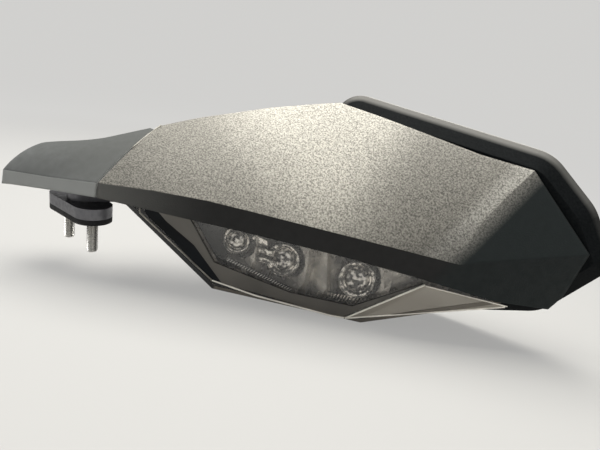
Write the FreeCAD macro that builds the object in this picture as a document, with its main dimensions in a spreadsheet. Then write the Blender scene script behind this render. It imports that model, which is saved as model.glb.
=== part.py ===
import FreeCAD, Part
import Sketcher
import math
import os
from FreeCAD import Placement, Rotation, Vector

# Left-hand rear-view mirror of a motorcycle, with a turn signal in its housing.
# X points outward from the motorcycle, Y to the rear (the glass faces that way), Z up.
# The origin is the middle of the seat on which the foot stands, between its two studs.

doc = FreeCAD.newDocument("SignalMirror")
sheet = doc.addObject("Spreadsheet::Sheet", "Sizes")

# Driving sizes: alias, value in millimetres or degrees, what it is.
SIZES = [
    ("cover_wall", 2.5, "wall of the moulded covers"),
    ("fit_gap", 0.2, "gap between pieces that sit in each other"),
    ("seam_gap", 1.0, "gap of the fold seam"),
    ("crown", 3.0, "rise of the arched top face"),
    ("band_lean", 1.0, "how far the band leans forward at its foot"),
    ("glass_yaw", 12.0, "turn of the glass toward the rider, degrees"),
    ("roof_reach", 1.2, "how far each roof arc runs on, times its chord, before its rear edge cuts it"),
    ("rim_depth", 12.0, "depth of the flared rim"),
    ("rim_gap", 2.0, "groove between the rim and the shell"),
    ("rim_edge", 4.0, "straight outer edge of the rim"),
    ("rim_step", 9.0, "how far the rim stands out round the shell"),
    ("rim_wall", 2.0, "wall of the rim"),
    ("neck_depth", 8.0, "how far the rim's neck reaches into the shell"),
    ("glass_margin", 3.5, "gap between the glass holder and the rim's opening"),
    ("glass_thickness", 2.5, "mirror glass"),
    ("holder_thickness", 2.5, "glass holder plate"),
    ("holder_lip", 1.5, "lip round the glass"),
    ("lip_sunk", 0.5, "lip below the glass face"),
    ("glass_sunk", 2.0, "glass face below the rim's rear edge"),
    ("ball_along", 44.0, "ball of the glass joint, along the glass from the rim's inner edge"),
    ("ball_height", 22.0, "ball above the seat"),
    ("ball_radius", 8.0, "ball of the glass joint"),
    ("ball_flat", 6.1, "from the ball's middle to the flat on its end"),
    ("ball_gap", 0.3, "gap between the ball and its liner, and before the socket's floor"),
    ("liner_wall", 1.6, "liner of the ball joint"),
    ("liner_half_height", 3.0, "liner on each side of the ball's middle"),
    ("socket_gap", 0.5, "gap between the liner and the socket, in which the liner tips"),
    ("socket_wall", 2.4, "socket wall on the glass holder"),
    ("socket_floor", 2.0, "between the socket and the holder plate"),
    ("socket_grip", 4.5, "from the ball's middle to the socket's snap lip"),
    ("snap_lip", 1.4, "snap lip of the socket"),
    ("ball_stalk_length", 14.0, "from the middle of the stay to the middle of the ball"),
    ("ball_stalk_radius", 4.0, "stalk of the ball"),
    ("hinge_outward", 17.0, "fold axis, outward of the seat's middle"),
    ("hinge_rearward", 33.0, "fold axis, behind the seat's middle"),
    ("hinge_pin_radius", 3.0, "fold pin"),
    ("pin_play", 0.05, "play of the fold pin in its bores"),
    ("pin_head_radius", 4.5, "head of the fold pin"),
    ("pin_head_height", 1.5, "head of the fold pin"),
    ("pin_tail", 2.0, "fold pin below the lower lug"),
    ("hinge_radius", 6.5, "lugs and barrel of the fold hinge"),
    ("hinge_clearance", 0.8, "gap between the hinge and the covers that pass it"),
    ("hinge_top", 36.0, "top of the upper lug"),
    ("lug_height", 7.0, "height of each lug"),
    ("hinge_play", 0.3, "play between a lug and the barrel"),
    ("pad_thickness", 3.0, "rubber pad under the foot"),
    ("flange_thickness", 6.0, "flange of the foot"),
    ("foot_half_width", 10.0, "half the width of the foot"),
    ("stud_reach", 13.0, "from the seat's middle to each stud"),
    ("stud_radius", 3.0, "fixing stud"),
    ("stud_shoulder", 3.6, "shoulder of each stud inside the pad"),
    ("stud_length", 18.0, "stud below the seat"),
    ("web_radius", 7.0, "web of the foot round the outlet for the wires"),
    ("web_top", 17.5, "top of the web between foot and hinge"),
    ("post_outward", 12.0, "post of the hinge, outward of the seat's middle"),
    ("post_rearward", 22.0, "post of the hinge, behind the seat's middle"),
    ("post_radius", 5.0, "post of the hinge"),
    ("boss_radius", 3.5, "boss under the arm's cover"),
    ("panel_thickness", 2.0, "panels that close the covers from below"),
    ("lens_wall", 2.2, "clear lens"),
    ("trim_height", 2.4, "dark strip under the lens"),
    ("stay_gap", 0.5, "gap between the lower mouldings and the stay above them"),
    ("bowl_radius", 10.5, "mouth of each reflector bowl"),
    ("bowl_depth", 9.0, "depth of each reflector bowl"),
    ("bowl_sunk", 1.5, "mouth of each bowl behind the lens"),
    ("lamp_radius", 6.8, "round seat of the lamp in each bowl"),
    ("lamp_side_gap", 0.4, "between each lamp and its bowl"),
    ("lamp_length", 6.5, "lens of each lamp, from its seat to its flat front"),
    ("reflector_gap", 1.0, "gap between the reflector and what is round it"),
    ("reflector_wall", 1.8, "reflector moulding"),
    ("divider_wall", 1.5, "upright rib between the second and the third lamp"),
    ("stay_half_width", 4.0, "half the width of the stay that carries the ball"),
    ("knee_outward", 44.0, "bend of the stay, outward of the seat's middle"),
    ("knee_rearward", 50.0, "bend of the stay, behind the seat's middle"),
    ("grommet_radius", 3.5, "outlet for the signal wires in the foot"),
    ("grommet_wall", 1.5, "wall of that outlet"),
    ("grommet_sunk", 0.5, "outlet above the seat"),
]
for row, (alias, value, meaning) in enumerate(SIZES, start=1):
    sheet.set(f"A{row}", alias)
    sheet.set(f"B{row}", str(value))
    sheet.setAlias(f"B{row}", alias)
    sheet.set(f"C{row}", meaning)
doc.recompute()


def size(alias):
    """One size of the sheet, in millimetres or degrees."""
    return float(sheet.get(alias))


def total(terms):
    """The sum that a text such as "pad_thickness + flange_thickness" names."""
    result = 0.0
    sign = 1.0
    for word in terms.split():
        if word in ("+", "-"):
            sign = 1.0 if word == "+" else -1.0
        else:
            result += sign * (float(word) if word[0].isdigit() else size(word))
    return result


def formula(terms):
    """The same sum, for a property that follows the sheet."""
    return " ".join(
        word if word in ("+", "-") or word[0].isdigit() else "Sizes." + word
        for word in terms.split()
    )


def spot(place):
    """The point of a pair of sums: outward, to the rear."""
    return Vector(total(place[0]), total(place[1]), 0)


UP = Vector(0, 0, 1)
WORLD = 600.0
FLAT_WITHIN = 0.0001
SAME_AXIS_WITHIN = 0.00001
LEAST_RADIUS = 3.0

# Places seen from above, each as two sums of sizes: outward, to the rear.
MIDDLE = ("0", "0")
INNER_STUD = ("- stud_reach", "0")
OUTER_STUD = ("stud_reach", "0")
POST = ("post_outward", "post_rearward")
HINGE = ("hinge_outward", "hinge_rearward")
KNEE = ("knee_outward", "knee_rearward")

# Heights, as sums of sizes.
FLANGE_TOP = "pad_thickness + flange_thickness"
LOWER_LUG_TOP = "pad_thickness + flange_thickness + lug_height"
UPPER_LUG_BOTTOM = "hinge_top - lug_height"
PIN_BOTTOM = "pad_thickness + flange_thickness - pin_tail"
PIN_TOP = "hinge_top + pin_head_height"
BARREL_BOTTOM = "pad_thickness + flange_thickness + lug_height + hinge_play"
BARREL_TOP = "hinge_top - lug_height - hinge_play"
BARREL_HEIGHT = "hinge_top - lug_height - hinge_play - hinge_play - lug_height" \
    " - flange_thickness - pad_thickness"

# Where the moulded form turns, in the frame of the whole mirror.
SEAM_FRONT = Vector(27.0, -5.4, 24.9)
SEAM_REAR = Vector(16.0, 37.4, 51.5)
BOSS = Vector(-4.0, -3.0, 0.0)
OUTER_CORNER = Vector(179.8, 94.7, 15.2)
GLASS_ORIGIN = Vector(105.0, 122.9, 0.0)

# Stations of the upper form: where, crease y and z, rear top y and z, base z.
STATIONS = [
    (-26.0, -28.5, 20.6, -7.0, 33.5, 13.0),
    (-19.0, -25.8, 21.1, -2.0, 35.5, 14.0),
    (0.0, -17.2, 22.2, 11.5, 40.2, 15.6),
    (27.0, -5.4, 24.9, 55.0, 57.6, 17.4),
    (50.0, 10.6, 25.6, 78.0, 67.1, 15.4),
    (73.0, 26.5, 25.0, 94.3, 74.0, 13.4),
    (92.0, 38.8, 23.4, 106.9, 78.8, 12.2),
    (115.0, 53.6, 21.2, 110.7, 74.5, 10.2),
    (138.0, 68.4, 19.1, 115.6, 70.3, 8.1),
    (170.0, 88.9, 16.0, 122.4, 64.2, 3.9),
    (199.0, 107.4, 13.2, 128.6, 60.7, -3.0),
    (240.0, 110.0, 14.0, 137.4, 62.0, -4.0),
]

# Rear edge of the upper form seen from above: x, y and corner radius. Outward of its
# last corners the form runs on behind the rim, and in front the stations bound it.
PLAN_CORNERS = [
    (-26.5, -70.0, 3.0),
    (-26.5, -8.0, 6.0),
    (-3.0, 8.0, 50.0),
    (27.0, 55.0, 60.0),
    (55.0, 82.0, 60.0),
    (92.0, 107.0, 3.0),
    (92.5, 170.0, 3.0),
    (300.0, 170.0, 3.0),
    (300.0, -70.0, 3.0),
]


def unit(vector):
    """The vector at length one."""
    return vector * (1.0 / vector.Length)


YAW = math.radians(size("glass_yaw"))
ALONG = Vector(math.cos(YAW), math.sin(YAW), 0)
REARWARD = Vector(-math.sin(YAW), math.cos(YAW), 0)
SEAM_OUT = unit((SEAM_REAR - SEAM_FRONT).cross(UP) * -1.0)
if SEAM_OUT.x < 0:
    SEAM_OUT = SEAM_OUT * -1.0
SEAM_OUT = unit(Vector(SEAM_OUT.x, SEAM_OUT.y, 0))


def side_of(point, normal):
    """A huge block that fills the side of a plane to which its normal points."""
    block = Part.makeBox(2 * WORLD, 2 * WORLD, WORLD, Vector(-WORLD, -WORLD, 0))
    block.Placement = Placement(point, Rotation(UP, normal))
    return block


def plane_normal(first, second, third, inside):
    """Unit normal of the plane through three points, pointing away from a point inside."""
    normal = unit((second - first).cross(third - first))
    if (inside - first).dot(normal) > 0:
        normal = normal * -1.0
    return normal


def inset_polygon(points, amounts):
    """Move each side of a closed polygon inward, its own amount, and cross the sides again."""
    count = len(points)
    area = sum(
        points[i][0] * points[(i + 1) % count][1] - points[(i + 1) % count][0] * points[i][1]
        for i in range(count)
    )
    turn = 1.0 if area > 0 else -1.0
    lines = []
    for i in range(count):
        (x0, y0), (x1, y1) = points[i], points[(i + 1) % count]
        length = math.hypot(x1 - x0, y1 - y0)
        along = ((x1 - x0) / length, (y1 - y0) / length)
        inward = (-along[1] * turn, along[0] * turn)
        lines.append((x0 + inward[0] * amounts[i], y0 + inward[1] * amounts[i], along[0], along[1]))
    corners = []
    for i in range(count):
        ax, ay, adx, ady = lines[i - 1]
        bx, by, bdx, bdy = lines[i]
        cross = adx * bdy - ady * bdx
        step = ((bx - ax) * bdy - (by - ay) * bdx) / cross
        corners.append((ax + adx * step, ay + ady * step))
    return corners


# The upper form, which the arm cover and the housing cover share.

def on_one_axis(first, second):
    """Whether two edges are arcs round the same axis."""
    if not (isinstance(first.Curve, Part.Circle) and isinstance(second.Curve, Part.Circle)):
        return False
    apart = second.Curve.Center - first.Curve.Center
    return apart.cross(first.Curve.Axis).Length < SAME_AXIS_WITHIN


def ruled_face(first, second):
    """The face that straight lines span between two edges, flat or conical where it can be."""
    corners = [first.Vertexes[0].Point, first.Vertexes[-1].Point,
               second.Vertexes[-1].Point, second.Vertexes[0].Point]
    if on_one_axis(first, second):
        angle = math.degrees(first.LastParameter - first.FirstParameter)
        slant = Part.makeLine(corners[0], corners[3])
        return slant.revolve(first.Curve.Center, first.Curve.Axis, angle)
    both_straight = isinstance(first.Curve, Part.Line) and isinstance(second.Curve, Part.Line)
    normal = (corners[1] - corners[0]).cross(corners[3] - corners[0])
    if both_straight and abs((corners[2] - corners[0]).dot(unit(normal))) < FLAT_WITHIN:
        return Part.Face(Part.makePolygon(corners + corners[:1]))
    return Part.makeRuledSurface(first, second)


def ruled_solid(sections):
    """A solid through closed sections, each a list of as many edges in the same turn."""
    faces = [Part.Face(Part.Wire(sections[0])), Part.Face(Part.Wire(sections[-1]))]
    for before, after in zip(sections, sections[1:]):
        faces += [ruled_face(first, second) for first, second in zip(before, after)]
    shell = Part.makeShell(faces)
    shell.sewShape()
    solid = Part.makeSolid(shell)
    if solid.Volume < 0:
        solid.reverse()
    return solid


def station_edges(station, inset, floor):
    """Section of the upper form at one station, arched outside and in two flats inside."""
    x, crease_y, crease_z, top_y, top_z, base_z = station
    reach = size("roof_reach")
    top_y, top_z = crease_y + reach * (top_y - crease_y), crease_z + reach * (top_z - crease_z)
    base = base_z if floor is None else floor
    lean = size("band_lean") * (crease_z - base) / (crease_z - base_z)
    outline = [(crease_y, crease_z), (top_y, top_z), (top_y, base), (crease_y - lean, base)]
    outline = inset_polygon(outline, [inset, 0.0, 0.0, inset])
    crease, top, rear_foot, front_foot = [Vector(x, y, z) for y, z in outline]
    chord = top - crease
    rise = unit(Vector(0, -chord.z, chord.y))
    middle = (crease + top) * 0.5 + rise * size("crown")
    if inset > 0.0:
        roof = [Part.makeLine(crease, middle), Part.makeLine(middle, top)]
    else:
        roof = [Part.Arc(crease, middle, top).toShape()]
    return roof + [
        Part.makeLine(top, rear_foot),
        Part.makeLine(rear_foot, front_foot),
        Part.makeLine(front_foot, crease),
    ]


def rounded_curves(corners, inset):
    """A flat closed outline, moved in by the inset, with an arc in each corner."""
    points = inset_polygon([(across, up) for across, up, radius in corners], [inset] * len(corners))
    count = len(points)
    area = sum(
        points[i - 1][0] * points[i][1] - points[i][0] * points[i - 1][1] for i in range(count)
    )
    rounds = []
    for i in range(count):
        corner = Vector(points[i][0], points[i][1], 0)
        before = unit(Vector(points[i - 1][0], points[i - 1][1], 0) - corner)
        after = unit(Vector(points[(i + 1) % count][0], points[(i + 1) % count][1], 0) - corner)
        hollow = before.cross(after).z * area > 0
        radius = max(LEAST_RADIUS, corners[i][2] + (inset if hollow else -inset))
        half = before.getAngle(after) / 2
        cut = radius / math.tan(half)
        nearest = corner + unit(before + after) * (radius / math.sin(half) - radius)
        rounds.append((corner + before * cut, nearest, corner + after * cut))
    curves = []
    for i in range(count):
        start, nearest, end = rounds[i]
        curves.append(Part.ArcOfCircle(start, nearest, end))
        curves.append(Part.LineSegment(end, rounds[(i + 1) % count][0]))
    return curves


def rounded_edges(corners, inset):
    """The edges of such an outline."""
    return [curve.toShape() for curve in rounded_curves(corners, inset)]


def plan_block(inset):
    """Everything in front of the rear edge, as seen from above."""
    outline = Part.Face(Part.Wire(rounded_edges(PLAN_CORNERS, inset)))
    outline.translate(Vector(0, 0, -WORLD / 2))
    return outline.extrude(UP * WORLD)


FACET_LOW = unit(Vector(0.640, -0.763, -0.087))
FACET_HIGH = unit(Vector(0.525, -0.775, 0.352))
FACET_LEAD = 25.0
TIP_UNDER_POINT = Vector(221.1, 131.5, -3.6)
TIP_UNDER = unit(Vector(0.85, 0.18, -0.49))


def upper_form(inset, floor=None):
    """The upper form from the arm's tip to the outer end, with its faceted end."""
    solid = ruled_solid([station_edges(station, inset, floor) for station in STATIONS])
    solid = solid.common(plan_block(inset))
    outer_end = side_of(Vector(OUTER_CORNER.x - FACET_LEAD, 0, 0), Vector(1, 0, 0))
    for point, normal in (
        (OUTER_CORNER, FACET_LOW),
        (OUTER_CORNER, FACET_HIGH),
        (TIP_UNDER_POINT, TIP_UNDER),
    ):
        solid = solid.cut(side_of(point - normal * inset, normal).common(outer_end))
    return solid


def behind_rim_plane(offset):
    """Everything behind the plane that lies this far ahead of the rim's rear edge."""
    return side_of(GLASS_ORIGIN - REARWARD * offset, REARWARD)


SHELL_EDGE = size("rim_depth") + size("rim_gap")
FORM_FLOOR = -60.0
WALL = size("cover_wall")
FIT = size("fit_gap")
BEFORE_SEAM = side_of(SEAM_FRONT - SEAM_OUT * (size("seam_gap") / 2), SEAM_OUT * -1.0)
BEYOND_SEAM = side_of(SEAM_FRONT + SEAM_OUT * (size("seam_gap") / 2), SEAM_OUT)

# The lower form, which the lens, its strip and the lower shell share.
LENS_TOP_INNER = Vector(40.3, 5.9, 11.0)
LENS_TOP_MIDDLE = Vector(133.3, 66.5, 8.6)
LENS_LOW_INNER = Vector(95.0, 52.8, -31.0)
LENS_LOW_OUTER = Vector(135.4, 78.1, -31.3)
LENS_TOP_OUTER = Vector(173.0, 93.6, 3.0)
LENS_TIP = Vector(202.5, 115.5, -3.0)
LENS_SIDE_TOP = Vector(42.0, 5.0, 11.0)
LENS_SIDE_LOW = Vector(72.5, 38.9, -27.1)
LENS_RISE = Vector(160.0, 93.2, -23.3)
LOWER_MIDDLE = Vector(110.0, 90.0, -5.0)

# Planes of the lower form: name, three points, and which inset it takes.
LOWER_PLANES = [
    ("front", LENS_TOP_INNER, LENS_TOP_MIDDLE, LENS_LOW_INNER),
    ("facet", LENS_LOW_OUTER, LENS_TOP_OUTER, LENS_TIP),
    ("under", LENS_SIDE_LOW, LENS_LOW_OUTER, Vector(105.0, 109.0, -28.0)),
    ("rise", LENS_RISE, LENS_TIP, Vector(184.0, 134.0, -16.0)),
    ("side", LENS_SIDE_TOP, LENS_SIDE_LOW, Vector(70.0, 105.0, 0.0)),
]
LOWER_TOP = total(BARREL_BOTTOM) - size("stay_gap")


def lower_form(front_inset, other_inset, upper_inset=WALL + FIT):
    """The lower form inside the upper one's outline, its planes moved in by the insets."""
    solid = upper_form(upper_inset, FORM_FLOOR)
    solid = solid.cut(side_of(Vector(0, 0, LOWER_TOP), UP))
    for name, first, second, third in LOWER_PLANES:
        inset = front_inset if name in ("front", "facet") else other_inset
        normal = plane_normal(first, second, third, LOWER_MIDDLE)
        solid = solid.cut(side_of(first - normal * inset, normal))
    return solid


def largest(shape):
    """The largest solid of a shape, without the offcuts beside it."""
    return max(shape.Solids, key=lambda solid: solid.Volume)


def add_shape(label, shape):
    """A feature that holds a shape worked out from the sizes."""
    if len(shape.Solids) == 1:
        shape = shape.Solids[0]
    feature = doc.addObject("Part::Feature", label)
    feature.Label = label
    feature.Shape = shape
    feature.Placement = Placement()
    return feature


# Corners of the rim's outer edge and of the glass holder, in turn round the glass:
# along the glass, up and corner radius of the rim, then the same three of the holder.
EDGE_CORNERS = [
    (-38.0, 48.0, 30.0, -12.8, 46.0, 24.0),
    (-35.0, -8.0, 30.0, -14.0, -1.0, 18.0),
    (-14.0, -31.0, 18.0, -7.0, -14.0, 14.0),
    (70.0, -25.0, 40.0, 66.0, -9.0, 30.0),
    (114.0, -10.0, 20.0, 99.0, 3.0, 18.0),
    (139.0, 24.5, 7.0, 110.5, 22.5, 9.0),
    (122.0, 51.0, 30.0, 99.0, 37.5, 20.0),
    (97.0, 72.8, 25.0, 82.0, 51.5, 20.0),
    (-17.0, 87.3, 16.0, -4.0, 65.5, 14.0),
]
RIM_CORNERS = [(along, up, radius) for along, up, radius, _, _, _ in EDGE_CORNERS]
HOLDER_CORNERS = [(along, up, radius) for _, _, _, along, up, radius in EDGE_CORNERS]


def rim_edges(inset, offset):
    """The rim's outline, moved in, on a plane parallel to the glass."""
    return [in_rim_plane(edge, offset) for edge in rounded_edges(RIM_CORNERS, inset)]


def holder_edges(inset, offset):
    """The outline of the glass holder, moved in, or out where the inset is negative."""
    return [in_rim_plane(edge, offset) for edge in rounded_edges(HOLDER_CORNERS, inset)]


def in_rim_plane(shape, offset):
    """A flat shape drawn in (along, up), carried to its plane parallel to the glass."""
    origin = GLASS_ORIGIN - REARWARD * offset
    matrix = FreeCAD.Matrix(
        ALONG.x, UP.x, -REARWARD.x, origin.x,
        ALONG.y, UP.y, -REARWARD.y, origin.y,
        ALONG.z, UP.z, -REARWARD.z, origin.z,
        0, 0, 0, 1,
    )
    moved = shape.copy()
    moved.transformShape(matrix, True)
    return moved


def rim_point(along, height, offset):
    """A point given along the glass, up, and ahead of the rim's rear edge."""
    return GLASS_ORIGIN + ALONG * along + UP * height - REARWARD * offset


def drawn_out(edges, length):
    """A solid from an outline parallel to the glass, drawn out to the rear."""
    return Part.Face(Part.Wire(edges)).extrude(REARWARD * length)


def bar_curves(first, first_radius, second, second_radius):
    """The outline that joins two circles by their outer tangents, in turn."""
    apart = second - first
    heading = math.atan2(apart.y, apart.x)
    spread = math.acos((first_radius - second_radius) / math.hypot(apart.x, apart.y))
    right = Vector(math.cos(heading - spread), math.sin(heading - spread), 0)
    left = Vector(math.cos(heading + spread), math.sin(heading + spread), 0)
    last = Part.Circle(second, UP, second_radius)
    back = Part.Circle(first, UP, first_radius)
    return [
        Part.ArcOfCircle(last, heading - spread, heading + spread),
        Part.LineSegment(second + left * second_radius, first + left * first_radius),
        Part.ArcOfCircle(back, heading + spread, heading - spread + 2 * math.pi),
        Part.LineSegment(first + right * first_radius, second + right * second_radius),
    ]


def bar(first, first_radius, second, second_radius, bottom, top):
    """An upright bar with that outline."""
    curves = bar_curves(first, first_radius, second, second_radius)
    face = Part.Face(Part.Wire([curve.toShape() for curve in curves]))
    face.translate(UP * bottom)
    return face.extrude(UP * (top - bottom))


def post(centre, radius, bottom, top):
    """An upright cylinder."""
    return Part.makeCylinder(radius, top - bottom, Vector(centre.x, centre.y, bottom), UP)


# Bodies, built from outlines whose sizes follow the sheet.

def new_body(label, placement=Placement()):
    """An empty body at its place in the mirror."""
    body = doc.addObject("PartDesign::Body", label)
    body.Label = label
    body.Placement = placement
    return body


def new_sketch(body, role, height="0"):
    """An outline on one of the body's own planes, raised by a sum of sizes."""
    sketch = body.newObject("Sketcher::SketchObject", body.Label + "_outline")
    plane = [item for item in body.Origin.OriginFeatures if item.Role == role][0]
    sketch.AttachmentSupport = [(plane, "")]
    sketch.MapMode = "FlatFace"
    if height != "0":
        sketch.setExpression("AttachmentOffset.Base.z", formula(height))
    return sketch


def hold_point(sketch, curve, point, place):
    """Keep a point of an outline at a pair of sums from the outline's origin."""
    for kind, axis, terms in (("DistanceX", -2, place[0]), ("DistanceY", -1, place[1])):
        if terms == "0":
            sketch.addConstraint(Sketcher.Constraint("PointOnObject", curve, point, axis))
        else:
            number = sketch.addConstraint(
                Sketcher.Constraint(kind, -1, 1, curve, point, total(terms)))
            sketch.setExpression(f"Constraints[{number}]", formula(terms))


def hold_radius(sketch, curve, radius):
    """Keep the radius of a circle or an arc at a sum of sizes."""
    number = sketch.addConstraint(Sketcher.Constraint("Radius", curve, total(radius)))
    sketch.setExpression(f"Constraints[{number}]", formula(radius))


def draw_circle(sketch, place, radius):
    """A circle."""
    curve = sketch.addGeometry(Part.Circle(spot(place), UP, total(radius)), False)
    hold_point(sketch, curve, 3, place)
    hold_radius(sketch, curve, radius)


def draw_smooth(sketch, curves):
    """A closed outline of arcs and lines in turn, each tangent to the next."""
    added = [sketch.addGeometry(curve, False) for curve in curves]
    for before, after in zip(added, added[1:] + added[:1]):
        sketch.addConstraint(Sketcher.Constraint("Tangent", before, 2, after, 1))
    return added


def draw_bar(sketch, first, first_radius, second, second_radius):
    """The outline of a bar that joins two circles."""
    start, end = spot(first), spot(second)
    added = draw_smooth(sketch, bar_curves(start, total(first_radius), end, total(second_radius)))
    for curve, place, radius in ((added[0], second, second_radius), (added[2], first, first_radius)):
        hold_point(sketch, curve, 3, place)
        hold_radius(sketch, curve, radius)


def draw_rounded(sketch, corners, inset):
    """A rounded outline, its arcs held where the corners put them."""
    curves = rounded_curves(corners, inset)
    added = draw_smooth(sketch, curves)
    for curve, arc in list(zip(added, curves))[::2]:
        middle = arc.Center
        sketch.addConstraint(Sketcher.Constraint("DistanceX", -1, 1, curve, 3, middle.x))
        sketch.addConstraint(Sketcher.Constraint("DistanceY", -1, 1, curve, 3, middle.y))
        sketch.addConstraint(Sketcher.Constraint("Radius", curve, arc.Radius))


def draw_profile(sketch, corners):
    """A closed outline of straight lines between corners that are pairs of sums."""
    points = [spot(corner) for corner in corners]
    count = len(points)
    for i in range(count):
        sketch.addGeometry(Part.LineSegment(points[i], points[(i + 1) % count]), False)
    for i in range(count):
        sketch.addConstraint(Sketcher.Constraint("Coincident", i, 2, (i + 1) % count, 1))
    for i in range(count):
        hold_point(sketch, i, 1, corners[i])


def pad(body, sketch, length):
    """Add the outline's solid, drawn out from its plane."""
    feature = body.newObject("PartDesign::Pad", body.Label + "_pad")
    feature.Profile = sketch
    feature.setExpression("Length", formula(length))
    sketch.Visibility = False


def pocket(body, sketch, length=None):
    """Cut the outline back from its plane, right through where no length is given."""
    feature = body.newObject("PartDesign::Pocket", body.Label + "_pocket")
    feature.Profile = sketch
    if length is None:
        feature.Type = "ThroughAll"
    else:
        feature.setExpression("Length", formula(length))
    sketch.Visibility = False


def revolve(body, sketch):
    """Add the outline turned once round its upright axis."""
    feature = body.newObject("PartDesign::Revolution", body.Label + "_turned")
    feature.Profile = sketch
    feature.ReferenceAxis = (sketch, ["V_Axis"])
    feature.Angle = 360.0
    sketch.Visibility = False


def turned_body(label, profile, placement=Placement()):
    """A body turned round its own upright axis from corners: radius, height."""
    body = new_body(label, placement)
    sketch = new_sketch(body, "XZ_Plane")
    draw_profile(sketch, profile)
    revolve(body, sketch)
    return body


# Arm

# The bars of the foot: name, the two places and radii that each joins, bottom and top.
CASTING = [
    ("foot", INNER_STUD, "foot_half_width", OUTER_STUD, "foot_half_width", "pad_thickness",
     FLANGE_TOP, "flange_thickness"),
    ("web", MIDDLE, "web_radius", POST, "post_radius", FLANGE_TOP, "web_top",
     "web_top - pad_thickness - flange_thickness"),
    ("lower lug", POST, "post_radius", HINGE, "hinge_radius", FLANGE_TOP, LOWER_LUG_TOP, "lug_height"),
    ("upper lug", POST, "post_radius", HINGE, "hinge_radius", UPPER_LUG_BOTTOM, "hinge_top", "lug_height"),
]


def arm_casting(margin):
    """Room for the foot, its web, the post and the two lugs of the fold hinge."""
    solid = post(spot(POST), size("post_radius") + margin, total(FLANGE_TOP), size("hinge_top") + margin)
    for name, first, first_radius, second, second_radius, bottom, top, height in CASTING:
        lowest = total(bottom) if name == "foot" else total(bottom) - margin
        solid = solid.fuse(bar(
            spot(first), size(first_radius) + margin, spot(second), size(second_radius) + margin,
            lowest, total(top) + margin))
    return solid.removeSplitter()


def hinge_column(margin):
    """Everything round the fold axis that the lugs, the barrel and a gap take up."""
    radius = size("hinge_radius") + margin
    return post(spot(HINGE), radius, total(PIN_BOTTOM) - margin, total(PIN_TOP) + margin)


def make_mount_foot():
    """Die-cast foot that carries the hinge, with the outlet for the wires."""
    body = new_body("mount_foot")
    for name, first, first_radius, second, second_radius, bottom, top, height in CASTING:
        sketch = new_sketch(body, "XY_Plane", bottom)
        draw_bar(sketch, first, first_radius, second, second_radius)
        pad(body, sketch, height)
    sketch = new_sketch(body, "XY_Plane", FLANGE_TOP)
    draw_circle(sketch, POST, "post_radius")
    pad(body, sketch, "hinge_top - pad_thickness - flange_thickness")
    sketch = new_sketch(body, "XY_Plane", "hinge_top")
    draw_circle(sketch, HINGE, "hinge_pin_radius + pin_play")
    pocket(body, sketch)
    sketch = new_sketch(body, "XY_Plane", "web_top")
    draw_circle(sketch, MIDDLE, "grommet_radius + fit_gap")
    pocket(body, sketch)
    return body


def make_foot_pad():
    """Rubber pad under the foot, with holes for the studs and the wires."""
    body = new_body("foot_pad")
    sketch = new_sketch(body, "XY_Plane")
    draw_bar(sketch, INNER_STUD, "foot_half_width", OUTER_STUD, "foot_half_width")
    pad(body, sketch, "pad_thickness")
    sketch = new_sketch(body, "XY_Plane", "pad_thickness")
    draw_circle(sketch, INNER_STUD, "stud_shoulder + fit_gap")
    draw_circle(sketch, OUTER_STUD, "stud_shoulder + fit_gap")
    draw_circle(sketch, MIDDLE, "grommet_radius + fit_gap")
    pocket(body, sketch)
    return body


def make_stud(label, place):
    """Stud under the foot, with its shoulder in the pad."""
    return turned_body(label, [
        ("0", "- stud_length"),
        ("stud_radius", "- stud_length"),
        ("stud_radius", "0"),
        ("stud_shoulder", "0"),
        ("stud_shoulder", "pad_thickness"),
        ("0", "pad_thickness"),
    ], Placement(spot(place), Rotation()))


def make_grommet():
    """Bushing through which the signal wires leave the foot."""
    return turned_body("wire_grommet", [
        ("grommet_radius - grommet_wall", "grommet_sunk"),
        ("grommet_radius", "grommet_sunk"),
        ("grommet_radius", "web_top"),
        ("grommet_radius - grommet_wall", "web_top"),
    ])


def make_hinge_pin():
    """Pin of the fold hinge with its head on the upper lug."""
    return turned_body("hinge_pin", [
        ("0", PIN_BOTTOM),
        ("hinge_pin_radius", PIN_BOTTOM),
        ("hinge_pin_radius", "hinge_top"),
        ("pin_head_radius", "hinge_top"),
        ("pin_head_radius", PIN_TOP),
        ("0", PIN_TOP),
    ], Placement(spot(HINGE), Rotation()))


def make_arm_cover():
    """Smooth cover over the foot and the arm side of the hinge."""
    solid = upper_form(0.0).cut(upper_form(WALL, FORM_FLOOR)).common(BEFORE_SEAM)
    boss = post(BOSS, size("boss_radius"), size("web_top") + size("panel_thickness"), WORLD / 4)
    solid = solid.fuse(boss.common(upper_form(WALL / 2)))
    notch = post(spot(HINGE), size("hinge_radius") + FIT, total(FLANGE_TOP), WORLD / 4)
    notch = notch.common(side_of(spot(HINGE), Vector(0, 1, 0)))
    return largest(solid.cut(arm_casting(FIT)).cut(hinge_column(FIT)).cut(notch))


def make_arm_panel():
    """Panel that closes the arm cover from below, round the foot's web."""
    bottom = size("web_top") + FIT
    slab = post(spot(MIDDLE), WORLD / 4, bottom, bottom + size("panel_thickness") - FIT)
    solid = upper_form(WALL + FIT, FORM_FLOOR).common(slab).common(BEFORE_SEAM)
    return largest(solid.cut(arm_casting(FIT)).cut(hinge_column(size("hinge_clearance"))))


# Housing

def shell_inside(inset):
    """What the upper and the lower shell enclose together, moved in by the inset."""
    return lower_form(inset, inset, inset).fuse(upper_form(inset, LOWER_TOP - WALL * 2))


def make_housing_cover():
    """Textured front shell: top face, band and faceted outer end."""
    solid = upper_form(0.0).cut(upper_form(WALL, FORM_FLOOR))
    solid = solid.cut(behind_rim_plane(SHELL_EDGE)).common(BEYOND_SEAM)
    return solid.cut(hinge_column(size("hinge_clearance"))).cut(stay_form(size("hinge_clearance")))


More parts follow.
